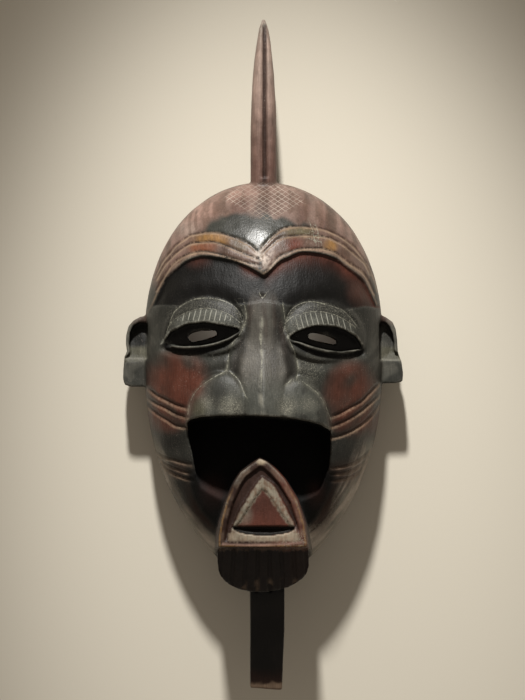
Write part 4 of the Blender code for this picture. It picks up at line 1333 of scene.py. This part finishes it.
def material_of(name: str, settings: dict, rows: Sequence[Row], links: dict[str, str]) -> bpy.types.Material:
    """Builds a material.

    Args:
        name: Its name.
        settings: Constants on the Principled shader's sockets.
        rows: The nodes that lead to the shader.
        links: The output that leads to each socket of the shader.

    Returns:
        The material.
    """
    made = bpy.data.materials.new(name)
    made.use_nodes = True
    shader = made.node_tree.nodes["Principled BSDF"]
    for socket, value in settings.items():
        shader.inputs[socket].default_value = value
    outputs = wire(made.node_tree, rows)
    for socket, source in links.items():
        source, _, output = source.partition(".")
        made.node_tree.links.new(outputs[source][output or 0], shader.inputs[socket])
    return made


@dataclass
class Cutter:
    """A node tree that pushes a piece's skin in along its normals. Its inputs are named for its sizes."""

    name: str
    inputs: dict[str, str]
    rows: tuple[Row, ...]
    skin: str = "@given.Geometry"

    def tree(self) -> bpy.types.NodeTree:
        """Builds the tree once and hands it back after that.

        Returns:
            The tree.
        """
        made = bpy.data.node_groups.get(self.name)
        if made:
            return made
        tree = bpy.data.node_groups.new(self.name, "GeometryNodeTree")
        for name, kind in {"Geometry": "Geometry", **self.inputs, "Material": "Material"}.items():
            tree.interface.new_socket(name, in_out="INPUT", socket_type=f"NodeSocket{kind}")
        tree.interface.new_socket("Geometry", in_out="OUTPUT", socket_type="NodeSocketGeometry")
        wire(tree, (
            ("given", "NodeGroupInput", ()),
            ("normal", "GeometryNodeInputNormal", ()),
            ("tilt", "ShaderNodeSeparateXYZ", ("@normal",)),
            *self.rows,
            ("push", "ShaderNodeVectorMath SCALE", {0: "@normal", "Scale": "@depth"}),
            ("moved", "GeometryNodeSetPosition", {"Geometry": self.skin, "Offset": "@push"}),
            ("whole", "GeometryNodeRealizeInstances", {"Geometry": "@moved"}),
            ("dressed", "GeometryNodeSetMaterial", {"Geometry": "@whole", "Material": "@given.Material"}),
            ("out", "NodeGroupOutput", ("@dressed",)),
        ))
        return tree

    def cut(self, piece: bpy.types.Object, sizes: dict) -> None:
        """Cuts a piece.

        Args:
            piece: What is cut.
            sizes: The tree's own inputs by name, and the Material the piece wears.
        """
        step = piece.modifiers.new(self.name, "NODES")
        step.node_group = self.tree()
        sockets = step.node_group.interface.items_tree
        names = {socket.name: socket.identifier for socket in sockets if socket.in_out == "INPUT"}
        for name, value in sizes.items():
            step[names[name]] = value
        evaluated(piece)


@dataclass
class StrokeCutter(Cutter):
    """Cuts a row of strokes into the front, square to a guide line."""

    name: str = "row of strokes"
    inputs: dict[str, str] = field(default_factory=lambda: {
        "Guide": "Object", "Pitch": "Float", "Length": "Float", "Lean": "Float", "Half Width": "Float",
        "Depth": "Float",
    })
    rows: tuple[Row, ...] = (
        ("guide", "GeometryNodeObjectInfo", {"Object": "@given.Guide"}),
        (
            "row", "GeometryNodeCurveToPoints",
            {"Curve": "@guide.Geometry", "Length": "@given.Pitch"}, {"mode": "LENGTH"},
        ),
        ("half", "ShaderNodeMath MULTIPLY", ("@given.Length", 0.5)),
        ("back", "ShaderNodeMath MULTIPLY", ("@half", -1.0)),
        ("start", "ShaderNodeCombineXYZ", {"Y": "@back"}),
        ("end", "ShaderNodeCombineXYZ", {"Y": "@half"}),
        ("stroke", "GeometryNodeCurvePrimitiveLine", {"Start": "@start", "End": "@end"}),
        ("turned", "FunctionNodeAlignRotationToVector", {"Vector": "@row.Tangent"}, {"axis": "X"}),
        ("lean", "ShaderNodeCombineXYZ", {"Z": "@given.Lean"}),
        (
            "leaning", "FunctionNodeRotateRotation", {"Rotation": "@turned", "Rotate By": "@lean"},
            {"rotation_space": "LOCAL"},
        ),
        (
            "placed", "GeometryNodeInstanceOnPoints",
            {"Points": "@row.Points", "Instance": "@stroke", "Rotation": "@leaning"},
        ),
        ("real", "GeometryNodeRealizeInstances", {"Geometry": "@placed"}),
        ("lines", "GeometryNodeCurveToMesh", {"Curve": "@real"}),
        ("position", "GeometryNodeInputPosition", ()),
        ("place", "ShaderNodeSeparateXYZ", ("@position",)),
        ("flat", "ShaderNodeCombineXYZ", {"X": "@place.X", "Y": "@place.Y"}),
        (
            "gap", "GeometryNodeProximity", {"Geometry": "@lines", "Sample Position": "@flat"},
            {"target_element": "EDGES"},
        ),
        (
            "near", "ShaderNodeMapRange", ("@gap.Distance", 0.0, "@given.Half Width", 1.0, 0.0),
            {"interpolation_type": "SMOOTHSTEP"},
        ),
        ("facing", "ShaderNodeMapRange", ("@tilt.Z", 0.1, 0.4, 0.0, 1.0)),
        ("share", "ShaderNodeMath MULTIPLY", ("@near", "@facing")),
        ("deep", "ShaderNodeMath MULTIPLY", ("@share", "@given.Depth")),
        ("depth", "ShaderNodeMath MULTIPLY", ("@deep", -1.0)),
        ("before", "GeometryNodeInputNamedAttribute", {"Name": "stroke"}),
        ("most", "ShaderNodeMath MAXIMUM", ("@before", "@share")),
        (
            "kept", "GeometryNodeStoreNamedAttribute",
            {"Name": "stroke", "Geometry": "@given.Geometry", "Value": "@most"},
        ),
    )
    skin: str = "@kept"

    def cut_along(self, piece: bpy.types.Object, guide: Points, sizes: dict) -> None:
        """Cuts one row.

        Args:
            piece: What is cut.
            guide: Points of the line through the strokes' middles, in millimetres.
            sizes: Pitch, Length, Lean, Half Width and Depth, and the Material the piece wears.
        """
        flat = curve(guide)
        shape = bpy.data.curves.new("guide", "CURVE")
        shape.dimensions = "3D"
        spline = shape.splines.new("POLY")
        spline.points.add(len(flat) - 1)
        places = np.column_stack([flat, np.zeros(len(flat)), np.ones(len(flat))])
        spline.points.foreach_set("co", places.ravel())
        line = bpy.data.objects.new("guide", shape)
        bpy.context.scene.collection.objects.link(line)
        self.cut(piece, {"Guide": line, **sizes})
        bpy.data.objects.remove(line)


@dataclass
class ToolMarks(Cutter):
    """Leaves the shallow scallops of an adze or knife on the faces that look one way."""

    name: str = "tool marks"
    inputs: dict[str, str] = field(default_factory=lambda: {
        "Cut Width": "Float", "Stretch": "Float", "Depth": "Float", "Faces Up": "Float",
    })
    rows: tuple[Row, ...] = (
        ("size", "ShaderNodeMath DIVIDE", (1.0, "@given.Cut Width")),
        ("squeeze", "ShaderNodeCombineXYZ", (1.0, "@given.Stretch", 1.0)),
        ("position", "GeometryNodeInputPosition", ()),
        ("place", "ShaderNodeVectorMath MULTIPLY", ("@position", "@squeeze")),
        (
            "cells", "ShaderNodeTexVoronoi",
            {"Vector": "@place", "Scale": "@size", "Randomness": 0.9, "Smoothness": 0.25},
            {"feature": "SMOOTH_F1"},
        ),
        ("way", "ShaderNodeMath MULTIPLY", ("@tilt.Z", "@given.Faces Up")),
        ("facing", "ShaderNodeMapRange", ("@way", -0.25, 0.35, 0.0, 1.0)),
        ("bowl", "ShaderNodeMath ADD", ("@cells", -0.45)),
        ("shallow", "ShaderNodeMath MULTIPLY", ("@bowl", "@facing")),
        ("depth", "ShaderNodeMath MULTIPLY", ("@shallow", "@given.Depth")),
    )


@dataclass(frozen=True)
class PaintedWood:
    """Carved hardwood, blackened and rubbed with earth colours, handled to a dull shine. Widths in mm."""

    name: str = "carved painted wood"
    grain_width: float = 1.3
    grain_stretch: float = 0.10
    speck_width: float = 1.6
    blotch_width: float = 17.0
    fleck_width: float = 0.9
    shiny: float = 0.24
    matt: float = 0.88
    ior: float = 1.34
    wander_width: float = 9.0
    wander: float = 0.9
    hatch_wide: float = Head.hatch_wide
    hatch_high: float = Head.hatch_high
    hatch_half: float = 0.09
    lash_pitch: float = Eyes.lash_pitch
    lash_lean: float = Eyes.lash_lean
    lash_half: float = 0.12
    relief_depth: float = 0.0009

    def ruled(self, name: str, level: str, pitch: float, lean: float, half: float) -> tuple[Row, ...]:
        """The rows of thin parallel lines, pitch apart along level and leaning with height."""
        return (
            (f"{name} rise", "ShaderNodeMath MULTIPLY", ("@flat.Y", lean)),
            (f"{name} turn", "ShaderNodeMath MULTIPLY_ADD", (level, 1.0 / (pitch * MM), f"@{name} rise")),
            (f"{name} gap", "ShaderNodeMath PINGPONG", (f"@{name} turn", 0.5)),
            (name, "ShaderNodeMapRange", (f"@{name} gap", half, 0.4 * half, 0.0, 1.0)),
        )

    def material(self) -> bpy.types.Material:
        """Builds it.

        The paint with its painted shade and highlights, its wear, its dullness and its painted glints
        come from the piece's own attributes. Long fine noise up the piece gives the eye the grain,
        and small noise breaks the paint's edges into speckles.
        """
        rows = [("place", "ShaderNodeTexCoord", ())]
        for name in ("paint", "worn", "dull", "plan", "hatch", "lashes", "seam", "specks"):
            rows.append((name, "ShaderNodeAttribute", (), {"attribute_name": name}))
        stretch = (1.0, self.grain_stretch, 1.0)
        rows.append(("lengthwise", "ShaderNodeMapping", {"Vector": "@place.Object", "Scale": stretch}))
        for name, place, width, detail, rough in (
            ("grain", "@lengthwise", self.grain_width, 3.0, 0.55),
            ("speck", "@place.Object", self.speck_width, 3.0, 0.6),
            ("blotch", "@place.Object", self.blotch_width, 4.0, 0.6),
            ("scratch", "@place.Object", self.fleck_width, 2.0, 0.5),
            ("wander", "@plan.Vector", self.wander_width, 1.0, 0.5),
        ):
            sizes = {"Vector": place, "Scale": 1.0 / (width * MM), "Detail": detail, "Roughness": rough}
            rows.append((name, "ShaderNodeTexNoise", sizes))
        stray = (self.wander * MM,) * 3
        rise, lean = 1.0 / (self.hatch_high * MM), self.lash_lean / (self.lash_pitch * MM)
        rows += [
            ("strayed", "ShaderNodeVectorMath MULTIPLY_ADD", ("@wander.Color", stray, "@plan.Vector")),
            ("flat", "ShaderNodeSeparateXYZ", ("@strayed",)),
            ("across", "ShaderNodeMath ABSOLUTE", ("@flat.X",)),
            *self.ruled("rising", "@flat.X", self.hatch_wide, rise, self.hatch_half),
            *self.ruled("falling", "@flat.X", self.hatch_wide, -rise, self.hatch_half),
            *self.ruled("lash", "@across", self.lash_pitch, lean, self.lash_half),
            ("near", "ShaderNodeMath ABSOLUTE", ("@seam.Fac",)),
        ]
        for name, source, *reach in (
            ("grained", "@grain", 0.3, 0.7, 0.82, 1.18),
            ("blotched", "@blotch", 0.3, 0.7, 0.74, 1.26),
            ("speckled", "@speck", 0.3, 0.7, -0.3, 0.3),
            ("streaked", "@grain", 0.3, 0.7, -0.14, 0.14),
            ("scratched", "@scratch", 0.62, 0.72, 0.0, 1.0),
            ("patchy", "@blotch", 0.42, 0.62, 0.0, 0.30),
            ("painted", "@worn.Fac", 0.0, 0.1, 0.0, 1.0),
            ("on the line", "@near", 1.0, 0.5, 0.0, 0.75),
            ("dusty", "@speck", 0.42, 0.58, 0.05, 1.0),
            ("dotted", "@scratch", 0.50, 0.62, 0.0, 0.9),
            ("shine", "@dull.Fac", 0.0, 1.0, self.shiny, self.matt),
            ("uneven", "@blotch", 0.3, 0.7, -0.07, 0.07),
            ("rugged", "@dull.Fac", 0.2, 0.6, 0.4, 1.0),
        ):
            rows.append((name, "ShaderNodeMapRange", (source, *reach)))
        rows += [
            ("shade", "ShaderNodeMath MULTIPLY", ("@grained", "@blotched")),
            ("shaded", "ShaderNodeVectorMath SCALE", {0: "@paint.Color", "Scale": "@shade"}),
            ("noise", "ShaderNodeMath ADD", ("@speckled", "@streaked")),
            ("thinned", "ShaderNodeMath ADD", ("@worn.Fac", "@noise")),
            ("gone", "ShaderNodeMapRange", ("@thinned", 0.42, 0.75, 0.0, 0.8)),
            ("rubbed", "ShaderNodeMapRange", ("@gone", 0.0, 1.0, 0.0, 0.2)),
            ("both ways", "ShaderNodeMath MAXIMUM", ("@rising", "@falling")),
            ("crossed", "ShaderNodeMath MULTIPLY", ("@both ways", "@hatch.Fac")),
            ("chalked", "ShaderNodeMapRange", ("@crossed", 0.0, 1.0, 0.0, 0.62)),
            ("strokes", "ShaderNodeMath MULTIPLY", ("@lash", "@lashes.Fac")),
            ("ashen", "ShaderNodeMapRange", ("@strokes", 0.0, 1.0, 0.0, 0.8)),
            # Pale lines and dots: a real dusting in the cuts, painted glints, and a painted highlight down
            # the nose's ridge.
            ("lines", "ShaderNodeMath MULTIPLY", ("@on the line", "@dusty")),
            ("dots", "ShaderNodeMath MULTIPLY", ("@specks.Fac", "@dotted")),
            ("dust", "ShaderNodeMath MAXIMUM", ("@lines", "@dots")),
            ("scratches", "ShaderNodeMath MULTIPLY", ("@scratched", "@patchy")),
            ("flecks", "ShaderNodeMath MULTIPLY", ("@scratches", "@painted")),
        ]
        under = "@shaded"
        for share, tone in (
            ("gone", Tone.WORN), ("chalked", Tone.CHALK), ("ashen", Tone.ASH), ("dust", Tone.DUST),
            ("flecks", Tone.CHALK),
        ):
            colours = {"Factor": f"@{share}", "A": under, "B": (*tone.linear.tolist(), 1.0)}
            rows.append((f"{share} over", "ShaderNodeMix", colours, {"data_type": "RGBA"}))
            under = f"@{share} over.Result"
        rows += [
            ("dullness", "ShaderNodeMath ADD", ("@shine", "@uneven")),
            ("rough", "ShaderNodeMath ADD", ("@dullness", "@rubbed")),
            ("fine", "ShaderNodeMath MULTIPLY_ADD", ("@speck", 0.6, "@grain")),
            ("relief", "ShaderNodeMath MULTIPLY", ("@fine", "@rugged")),
            ("cut", "ShaderNodeMath MAXIMUM", ("@crossed", "@strokes")),
            ("height", "ShaderNodeMath MULTIPLY_ADD", ("@cut", -0.8, "@relief")),
            ("bump", "ShaderNodeBump", {"Height": "@height", "Strength": 0.5, "Distance": self.relief_depth}),
        ]
        links = {"Base Color": under[1:], "Roughness": "rough", "Normal": "bump"}
        return material_of(self.name, {"Metallic": 0.0, "IOR": self.ior}, rows, links)


@dataclass(frozen=True)
class PaleWall:
    """Smooth matt wall paint, rolled on, which gives the eye an even pale ground."""

    name: str = "matt wall paint"
    colour: str = "#d8d1c1"
    stipple: float = 2.5
    stipple_depth: float = 0.0003

    def material(self) -> bpy.types.Material:
        """Builds it, with the faint stipple a roller leaves."""
        scale = 1.0 / (self.stipple * MM)
        rows = (
            ("place", "ShaderNodeTexCoord", ()),
            ("stipple", "ShaderNodeTexNoise", {"Vector": "@place.Object", "Scale": scale}),
            (
                "bump", "ShaderNodeBump",
                {"Height": "@stipple", "Strength": 0.1, "Distance": self.stipple_depth},
            ),
        )
        settings = {"Base Color": (*linear(self.colour).tolist(), 1.0), "Roughness": 0.85}
        return material_of(self.name, settings, rows, {"Normal": "bump"})


@dataclass
class Mask:
    """The whole carving, cut from one block."""

    head: Head = field(default_factory=Head)
    brow: Brow = field(default_factory=Brow)
    eyes: Eyes = field(default_factory=Eyes)
    nose: Nose = field(default_factory=Nose)
    cheeks: Cheeks = field(default_factory=Cheeks)
    niche: Niche = field(default_factory=Niche)
    mouth: Mouth = field(default_factory=Mouth)
    beard: Beard = field(default_factory=Beard)
    stalk: Stalk = field(default_factory=Stalk)
    crest: Crest = field(default_factory=Crest)
    ears: Ears = field(default_factory=Ears)
    finish: PaintedWood = field(default_factory=PaintedWood)
    grain: float = 0.00122
    softening: int = 2
    faces: int = 192000
    above: float = 0.25
    marks_inside: tuple[float, ...] = (0.013, 0.45, 0.0016, -1.0)
    marks_outside: tuple[float, ...] = (0.011, 0.5, 0.0006, 1.0)
    ridge_blend: float = 0.004
    wing_blend: float = 0.002
    rim_fade: float = 0.12
    thinning: tuple[float, float] = (0.7, 0.12)
    unworn: Oval = (0.0, 40.0, 92.0, 8.0)

    def height(self, u: Values, v: Values) -> Values:
        """The whole front: dome, brow, sockets, lids and nose."""
        dome = self.head.dome(u, v)
        height = dome - self.brow.sink(u, v) + self.eyes.relief(u, v)
        ridge = self.nose.ridge(u, v, self.head, self.brow, self.niche.top - self.niche.undercut)
        height = blended(height, ridge, self.ridge_blend)
        for wing in self.nose.wings:
            cap = mound(u, v, wing)
            top = dome + self.nose.wing_step + self.nose.wing_rise * cap**0.8
            height = blended(height, np.where((cap > 0) & (v > wing[4] * MM), top, 0.0), self.wing_blend)
        fade = short_of(self.head.level(u, v), 1.0, self.rim_fade)
        return dome * (1.0 - fade) + height * fade

    def ceiling(self, u: Values, v: Values) -> Values:
        """The carved-out inside, a wall's thickness under the front and the niche."""
        head = self.head
        shell = np.sqrt(np.maximum(1.0 - head.level(u, v, head.side_wall), 0.0))
        shell = head.side_depth - head.front_wall + head.hollow_rise * shell
        past = smooth((v - self.niche.top - self.niche.undercut - head.front_wall) / head.hollow_step)
        return np.minimum(shell, self.niche.floor(v) - head.front_wall + past * head.hollow_rise)

    def blocked_out(self) -> bpy.types.Object:
        """The sharp form, with all its blocks joined and its openings cut."""
        head = self.head
        base = head.shell("mask_carving", self.height, 0.0, -0.006)
        ears = self.ears.blocks(self.above)
        steps = [self.niche.block(self.above), *ears, self.crest.block(self.crown), self.stalk.block()]
        steps += [self.beard.block(), self.mouth.block(), *self.eyes.blocks(self.above)]
        steps.append(("DIFFERENCE", head.shell("hollow cut", self.ceiling, head.side_wall, -0.02)))
        return combined(base, steps)

    @property
    def crown(self) -> float:
        """The level of the crown's outline."""
        return self.head.widest_level + self.head.crown_reach

    def soften(self, piece: bpy.types.Object) -> None:
        """Turns the blocked-out form into one even skin with worn edges."""
        skin = piece.modifiers.new("even skin", "REMESH")
        skin.mode = "VOXEL"
        skin.voxel_size = self.grain
        worn = piece.modifiers.new("worn edges", "SMOOTH")
        worn.factor = 0.5
        worn.iterations = self.softening
        evaluated(piece)

    def carve(self, piece: bpy.types.Object, finish: bpy.types.Material) -> None:
        """Cuts the lines into the front along the surface's own normals."""
        points, normals = places_of(piece), normals_of(piece)
        u, v, z = points.T
        facing = beyond(normals[:, 2], 0.1, 0.3)
        depth = self.brow.carving(u, v, self.eyes.lids)
        for more in (self.cheeks.carving(u, v), self.eyes.carving(u, v), self.nose.carving(u, v)):
            depth = np.maximum(depth, more)
        depth = np.maximum(depth, self.mouth.carving(u, v, z))
        depth = np.maximum(depth, self.crest.carving(u, v, self.crown))
        put_places(piece, points - normals * (depth * facing)[:, None])
        StrokeCutter().cut_along(piece, self.beard.flutes, {**self.beard.flute_sizes, "Material": finish})
        for sizes in (self.marks_inside, self.marks_outside):
            ToolMarks().cut(piece, {**dict(zip(ToolMarks().inputs, sizes)), "Material": finish})

    def narrow(self, piece: bpy.types.Object) -> Values:
        """Draws the front in toward the middle line with height, and centres the mask.

        Returns:
            How far the middle was moved, across and up.
        """
        points = places_of(piece)
        points[:, :2] *= 1.0 - self.head.narrowing * (points[:, 2:] - self.head.side_depth)
        middle = (points[:, :2].min(axis=0) + points[:, :2].max(axis=0)) / 2
        points[:, :2] -= middle
        put_places(piece, points)
        return middle

    def thin(self, piece: bpy.types.Object) -> None:
        """Thins the faces, most where it is hidden, and cuts the back rim flat at z = 0."""
        hidden = piece.vertex_groups.new(name="hidden")
        points, normals = places_of(piece), normals_of(piece)
        thinned = np.where((normals[:, 2] < -0.05) | (points[:, 2] < 0.03), *self.thinning)
        for share in self.thinning:
            hidden.add(np.flatnonzero(thinned == share).tolist(), share, "REPLACE")
        count = 2 * len(piece.data.polygons)
        thin = piece.modifiers.new("fewer faces", "DECIMATE")
        thin.ratio = min(1.0, self.faces / count)
        thin.vertex_group = hidden.name
        reach = 2.0 * self.crest.tip / MM
        corners = ((-reach, -reach), (reach, -reach), (reach, reach), (-reach, reach))
        combined(piece, [("DIFFERENCE", prism("rim cut", corners, -0.05, 0.0))])
        piece.vertex_groups.clear()

    def paint(self, piece: bpy.types.Object, middle: Values) -> None:
        """Lays the paint, the wear and the painted light and shade on each vertex."""
        points, normals = places_of(piece), normals_of(piece)
        z = points[:, 2]
        drawn_in = 1.0 - self.head.narrowing * (z - self.head.side_depth)
        u, v = ((points[:, :2] + middle) / drawn_in[:, None]).T
        stroke = np.zeros(len(z))
        piece.data.attributes["stroke"].data.foreach_get("value", stroke)
        coat = Coat(u, v, z, normals[:, 2], edges_of(piece), stroke)
        for part, *needed in (
            (self.head,), (self.cheeks,), (self.brow, self.eyes.lids), (self.eyes,), (self.nose,),
            (self.ears,), (self.crest, self.crown), (self.niche, self.head), (self.beard,),
            (self.stalk,), (self.mouth, self.head),
        ):
            part.dress(coat, *needed)
        # Standing edges are paled and worn: wear, and a painted highlight along the edges.
        keen = beyond(coat.edge, 0.08, 0.22) * beyond(v, -0.17, 0.01)
        keen = keen * smooth(0.1 + 1.1 * coat.noise(9.0, 90))
        keen = keen * (1.0 - patch(u, v, self.unworn, 0.2))
        sunk = beyond(inside(self.niche.outline, u, v), -0.006, 0.002)
        keen = keen * (1.0 - sunk * short_of(v, -0.068, 0.004) * (z < 0.105))
        coat.lay(Tone.RUBBED, 0.5 * keen)
        coat.rub(0.45 * keen * coat.noise(5.0, 91))
        # Creases and hollows are darkened toward black: painted shade.
        coat.lay(Tone.SOOT_AND_SHADE, 0.5 * short_of(coat.edge, -0.08, 0.25))
        self.head.dress_inside(coat, self.ceiling(u, v))
        store(piece, "paint", "FLOAT_COLOR", np.column_stack([coat.colour, np.ones(len(z))]))
        coat.specks *= coat.worn > 0.02
        for name in ("worn", "dull", "hatch", "lashes", "seam", "specks"):
            store(piece, name, "FLOAT", getattr(coat, name))
        store(piece, "plan", "FLOAT_VECTOR", np.column_stack([u, v, z]))

    def build(self) -> bpy.types.Object:
        """Builds and dresses the carving."""
        finish = self.finish.material()
        piece = self.blocked_out()
        log.info("blocked out: %d faces", len(piece.data.polygons))
        self.soften(piece)
        log.info("one skin: %d faces", len(piece.data.polygons))
        self.carve(piece, finish)
        middle = self.narrow(piece)
        self.thin(piece)
        self.paint(piece, middle)
        piece.data.materials.clear()
        piece.data.materials.append(finish)
        piece.data.shade_smooth()
        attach(piece, "root")
        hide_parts("mask")
        log.info("%s: %d faces, one piece of painted wood", piece.name, len(piece.data.polygons))
        return piece


def places_of(piece: bpy.types.Object) -> Values:
    """The places of a mesh's vertices."""
    points = np.empty(len(piece.data.vertices) * 3)
    piece.data.vertices.foreach_get("co", points)
    return points.reshape(-1, 3)


def put_places(piece: bpy.types.Object, points: Values) -> None:
    """Moves a mesh's vertices."""
    piece.data.vertices.foreach_set("co", points.ravel())
    piece.data.update()


def normals_of(piece: bpy.types.Object) -> Values:
    """The normals of a mesh's vertices."""
    normals = np.empty(len(piece.data.vertices) * 3)
    piece.data.vertex_normals.foreach_get("vector", normals)
    return normals.reshape(-1, 3)


def edges_of(piece: bpy.types.Object, passes: int = 3) -> Values:
    """How sharply each vertex stands out from its neighbours, from about -1 in a crease to 1 on an edge."""
    points, normals = places_of(piece), normals_of(piece)
    ends = np.empty(len(piece.data.edges) * 2, np.int32)
    piece.data.edges.foreach_get("vertices", ends)
    first, second = ends.reshape(-1, 2).T
    count = np.bincount(ends, minlength=len(points))
    turn = 1.0 - (normals[first] * normals[second]).sum(axis=1)
    out = ((points[first] - points[second]) * (normals[first] - normals[second])).sum(axis=1)
    bend = np.sign(out) * np.sqrt(np.maximum(turn, 0.0))
    edge = (np.bincount(first, bend, len(points)) + np.bincount(second, bend, len(points))) / count
    for _ in range(passes):
        around = np.bincount(first, edge[second], len(points)) + np.bincount(second, edge[first], len(points))
        edge = 0.5 * edge + 0.5 * around / count
    return edge


def store(piece: bpy.types.Object, name: str, kind: str, values: Values) -> None:
    """Keeps values on a mesh's vertices as a named attribute."""
    made = piece.data.attributes.new(name, kind, "POINT")
    part = {"FLOAT_COLOR": "color", "FLOAT_VECTOR": "vector"}.get(kind, "value")
    made.data.foreach_set(part, values.ravel())


@dataclass
class Studio:
    """The pale ground, the soft light from beyond the crest and the camera above."""

    camera_height: float = 1.30
    camera_place: tuple[float, float] = (-0.00045, 0.004)
    view_height: float = 0.63
    view_level: float = 0.04
    light_place: tuple[float, float, float] = (-0.115, 1.63, 1.17)
    light_aim: tuple[float, float, float] = (0.045, -0.135, 0.0)
    light_power: float = 264.0
    light_size: float = 0.07
    light_spread: float = 22.6
    sky: float = 0.235
    behind_place: tuple[float, float, float] = (0.0, 0.055, 0.030)
    behind_power: float = 0.045
    behind_size: float = 0.01
    light_colour: tuple[float, float, float] = (1.0, 0.985, 0.955)
    sky_colour: tuple[float, float, float, float] = (1.0, 0.89, 0.77, 1.0)
    ground_reach: float = 4.0
    wall: PaleWall = field(default_factory=PaleWall)

    def build(self, low: float) -> None:
        """Lays the ground at the level low, and sets the light and the camera."""
        scene = bpy.context.scene
        reach = self.ground_reach
        turns = ((-reach, -reach), (reach, -reach), (reach, reach), (-reach, reach))
        corners = np.array([(*turn, low) for turn in turns])
        ground = mesh_object("ground", corners, [(0, 1, 2, 3)])
        ground.data.materials.append(self.wall.material())
        shape = bpy.data.lights.new("soft light", "SPOT")
        shape.energy = self.light_power
        shape.shadow_soft_size = self.light_size
        shape.spot_size = math.radians(self.light_spread)
        shape.spot_blend = 1.0
        shape.color = self.light_colour
        light = bpy.data.objects.new("soft light", shape)
        light.location = self.light_place
        light.rotation_euler = (Vector(self.light_aim) - light.location).to_track_quat("-Z", "Y").to_euler()
        scene.collection.objects.link(light)
        glow = bpy.data.lights.new("light behind", "POINT")
        glow.energy = self.behind_power
        glow.shadow_soft_size = self.behind_size
        behind = bpy.data.objects.new("light behind", glow)
        behind.location = self.behind_place
        scene.collection.objects.link(behind)
        world = bpy.data.worlds.new("studio")
        world.use_nodes = True
        background = world.node_tree.nodes["Background"]
        background.inputs["Color"].default_value = self.sky_colour
        background.inputs["Strength"].default_value = self.sky
        scene.world = world
        eye = bpy.data.cameras.new("camera")
        eye.sensor_fit = "VERTICAL"
        eye.angle = 2.0 * math.atan(self.view_height / 2.0 / (self.camera_height - self.view_level))
        camera = bpy.data.objects.new("camera", eye)
        camera.location = (*self.camera_place, self.camera_height)
        scene.collection.objects.link(camera)
        scene.camera = camera
        scene.view_settings.view_transform = "Standard"
        log.info("studio: ground at %.4f m, one soft light, camera at %.2f m", low, self.camera_height)


def main() -> None:
    """Builds the mask and the studio."""
    logging.basicConfig(level=logging.INFO, format="%(name)s: %(message)s")
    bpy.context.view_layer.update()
    Mask().build()
    Studio().build(float(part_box("mask")[0][2]))


if __name__ == "__main__":
    main()
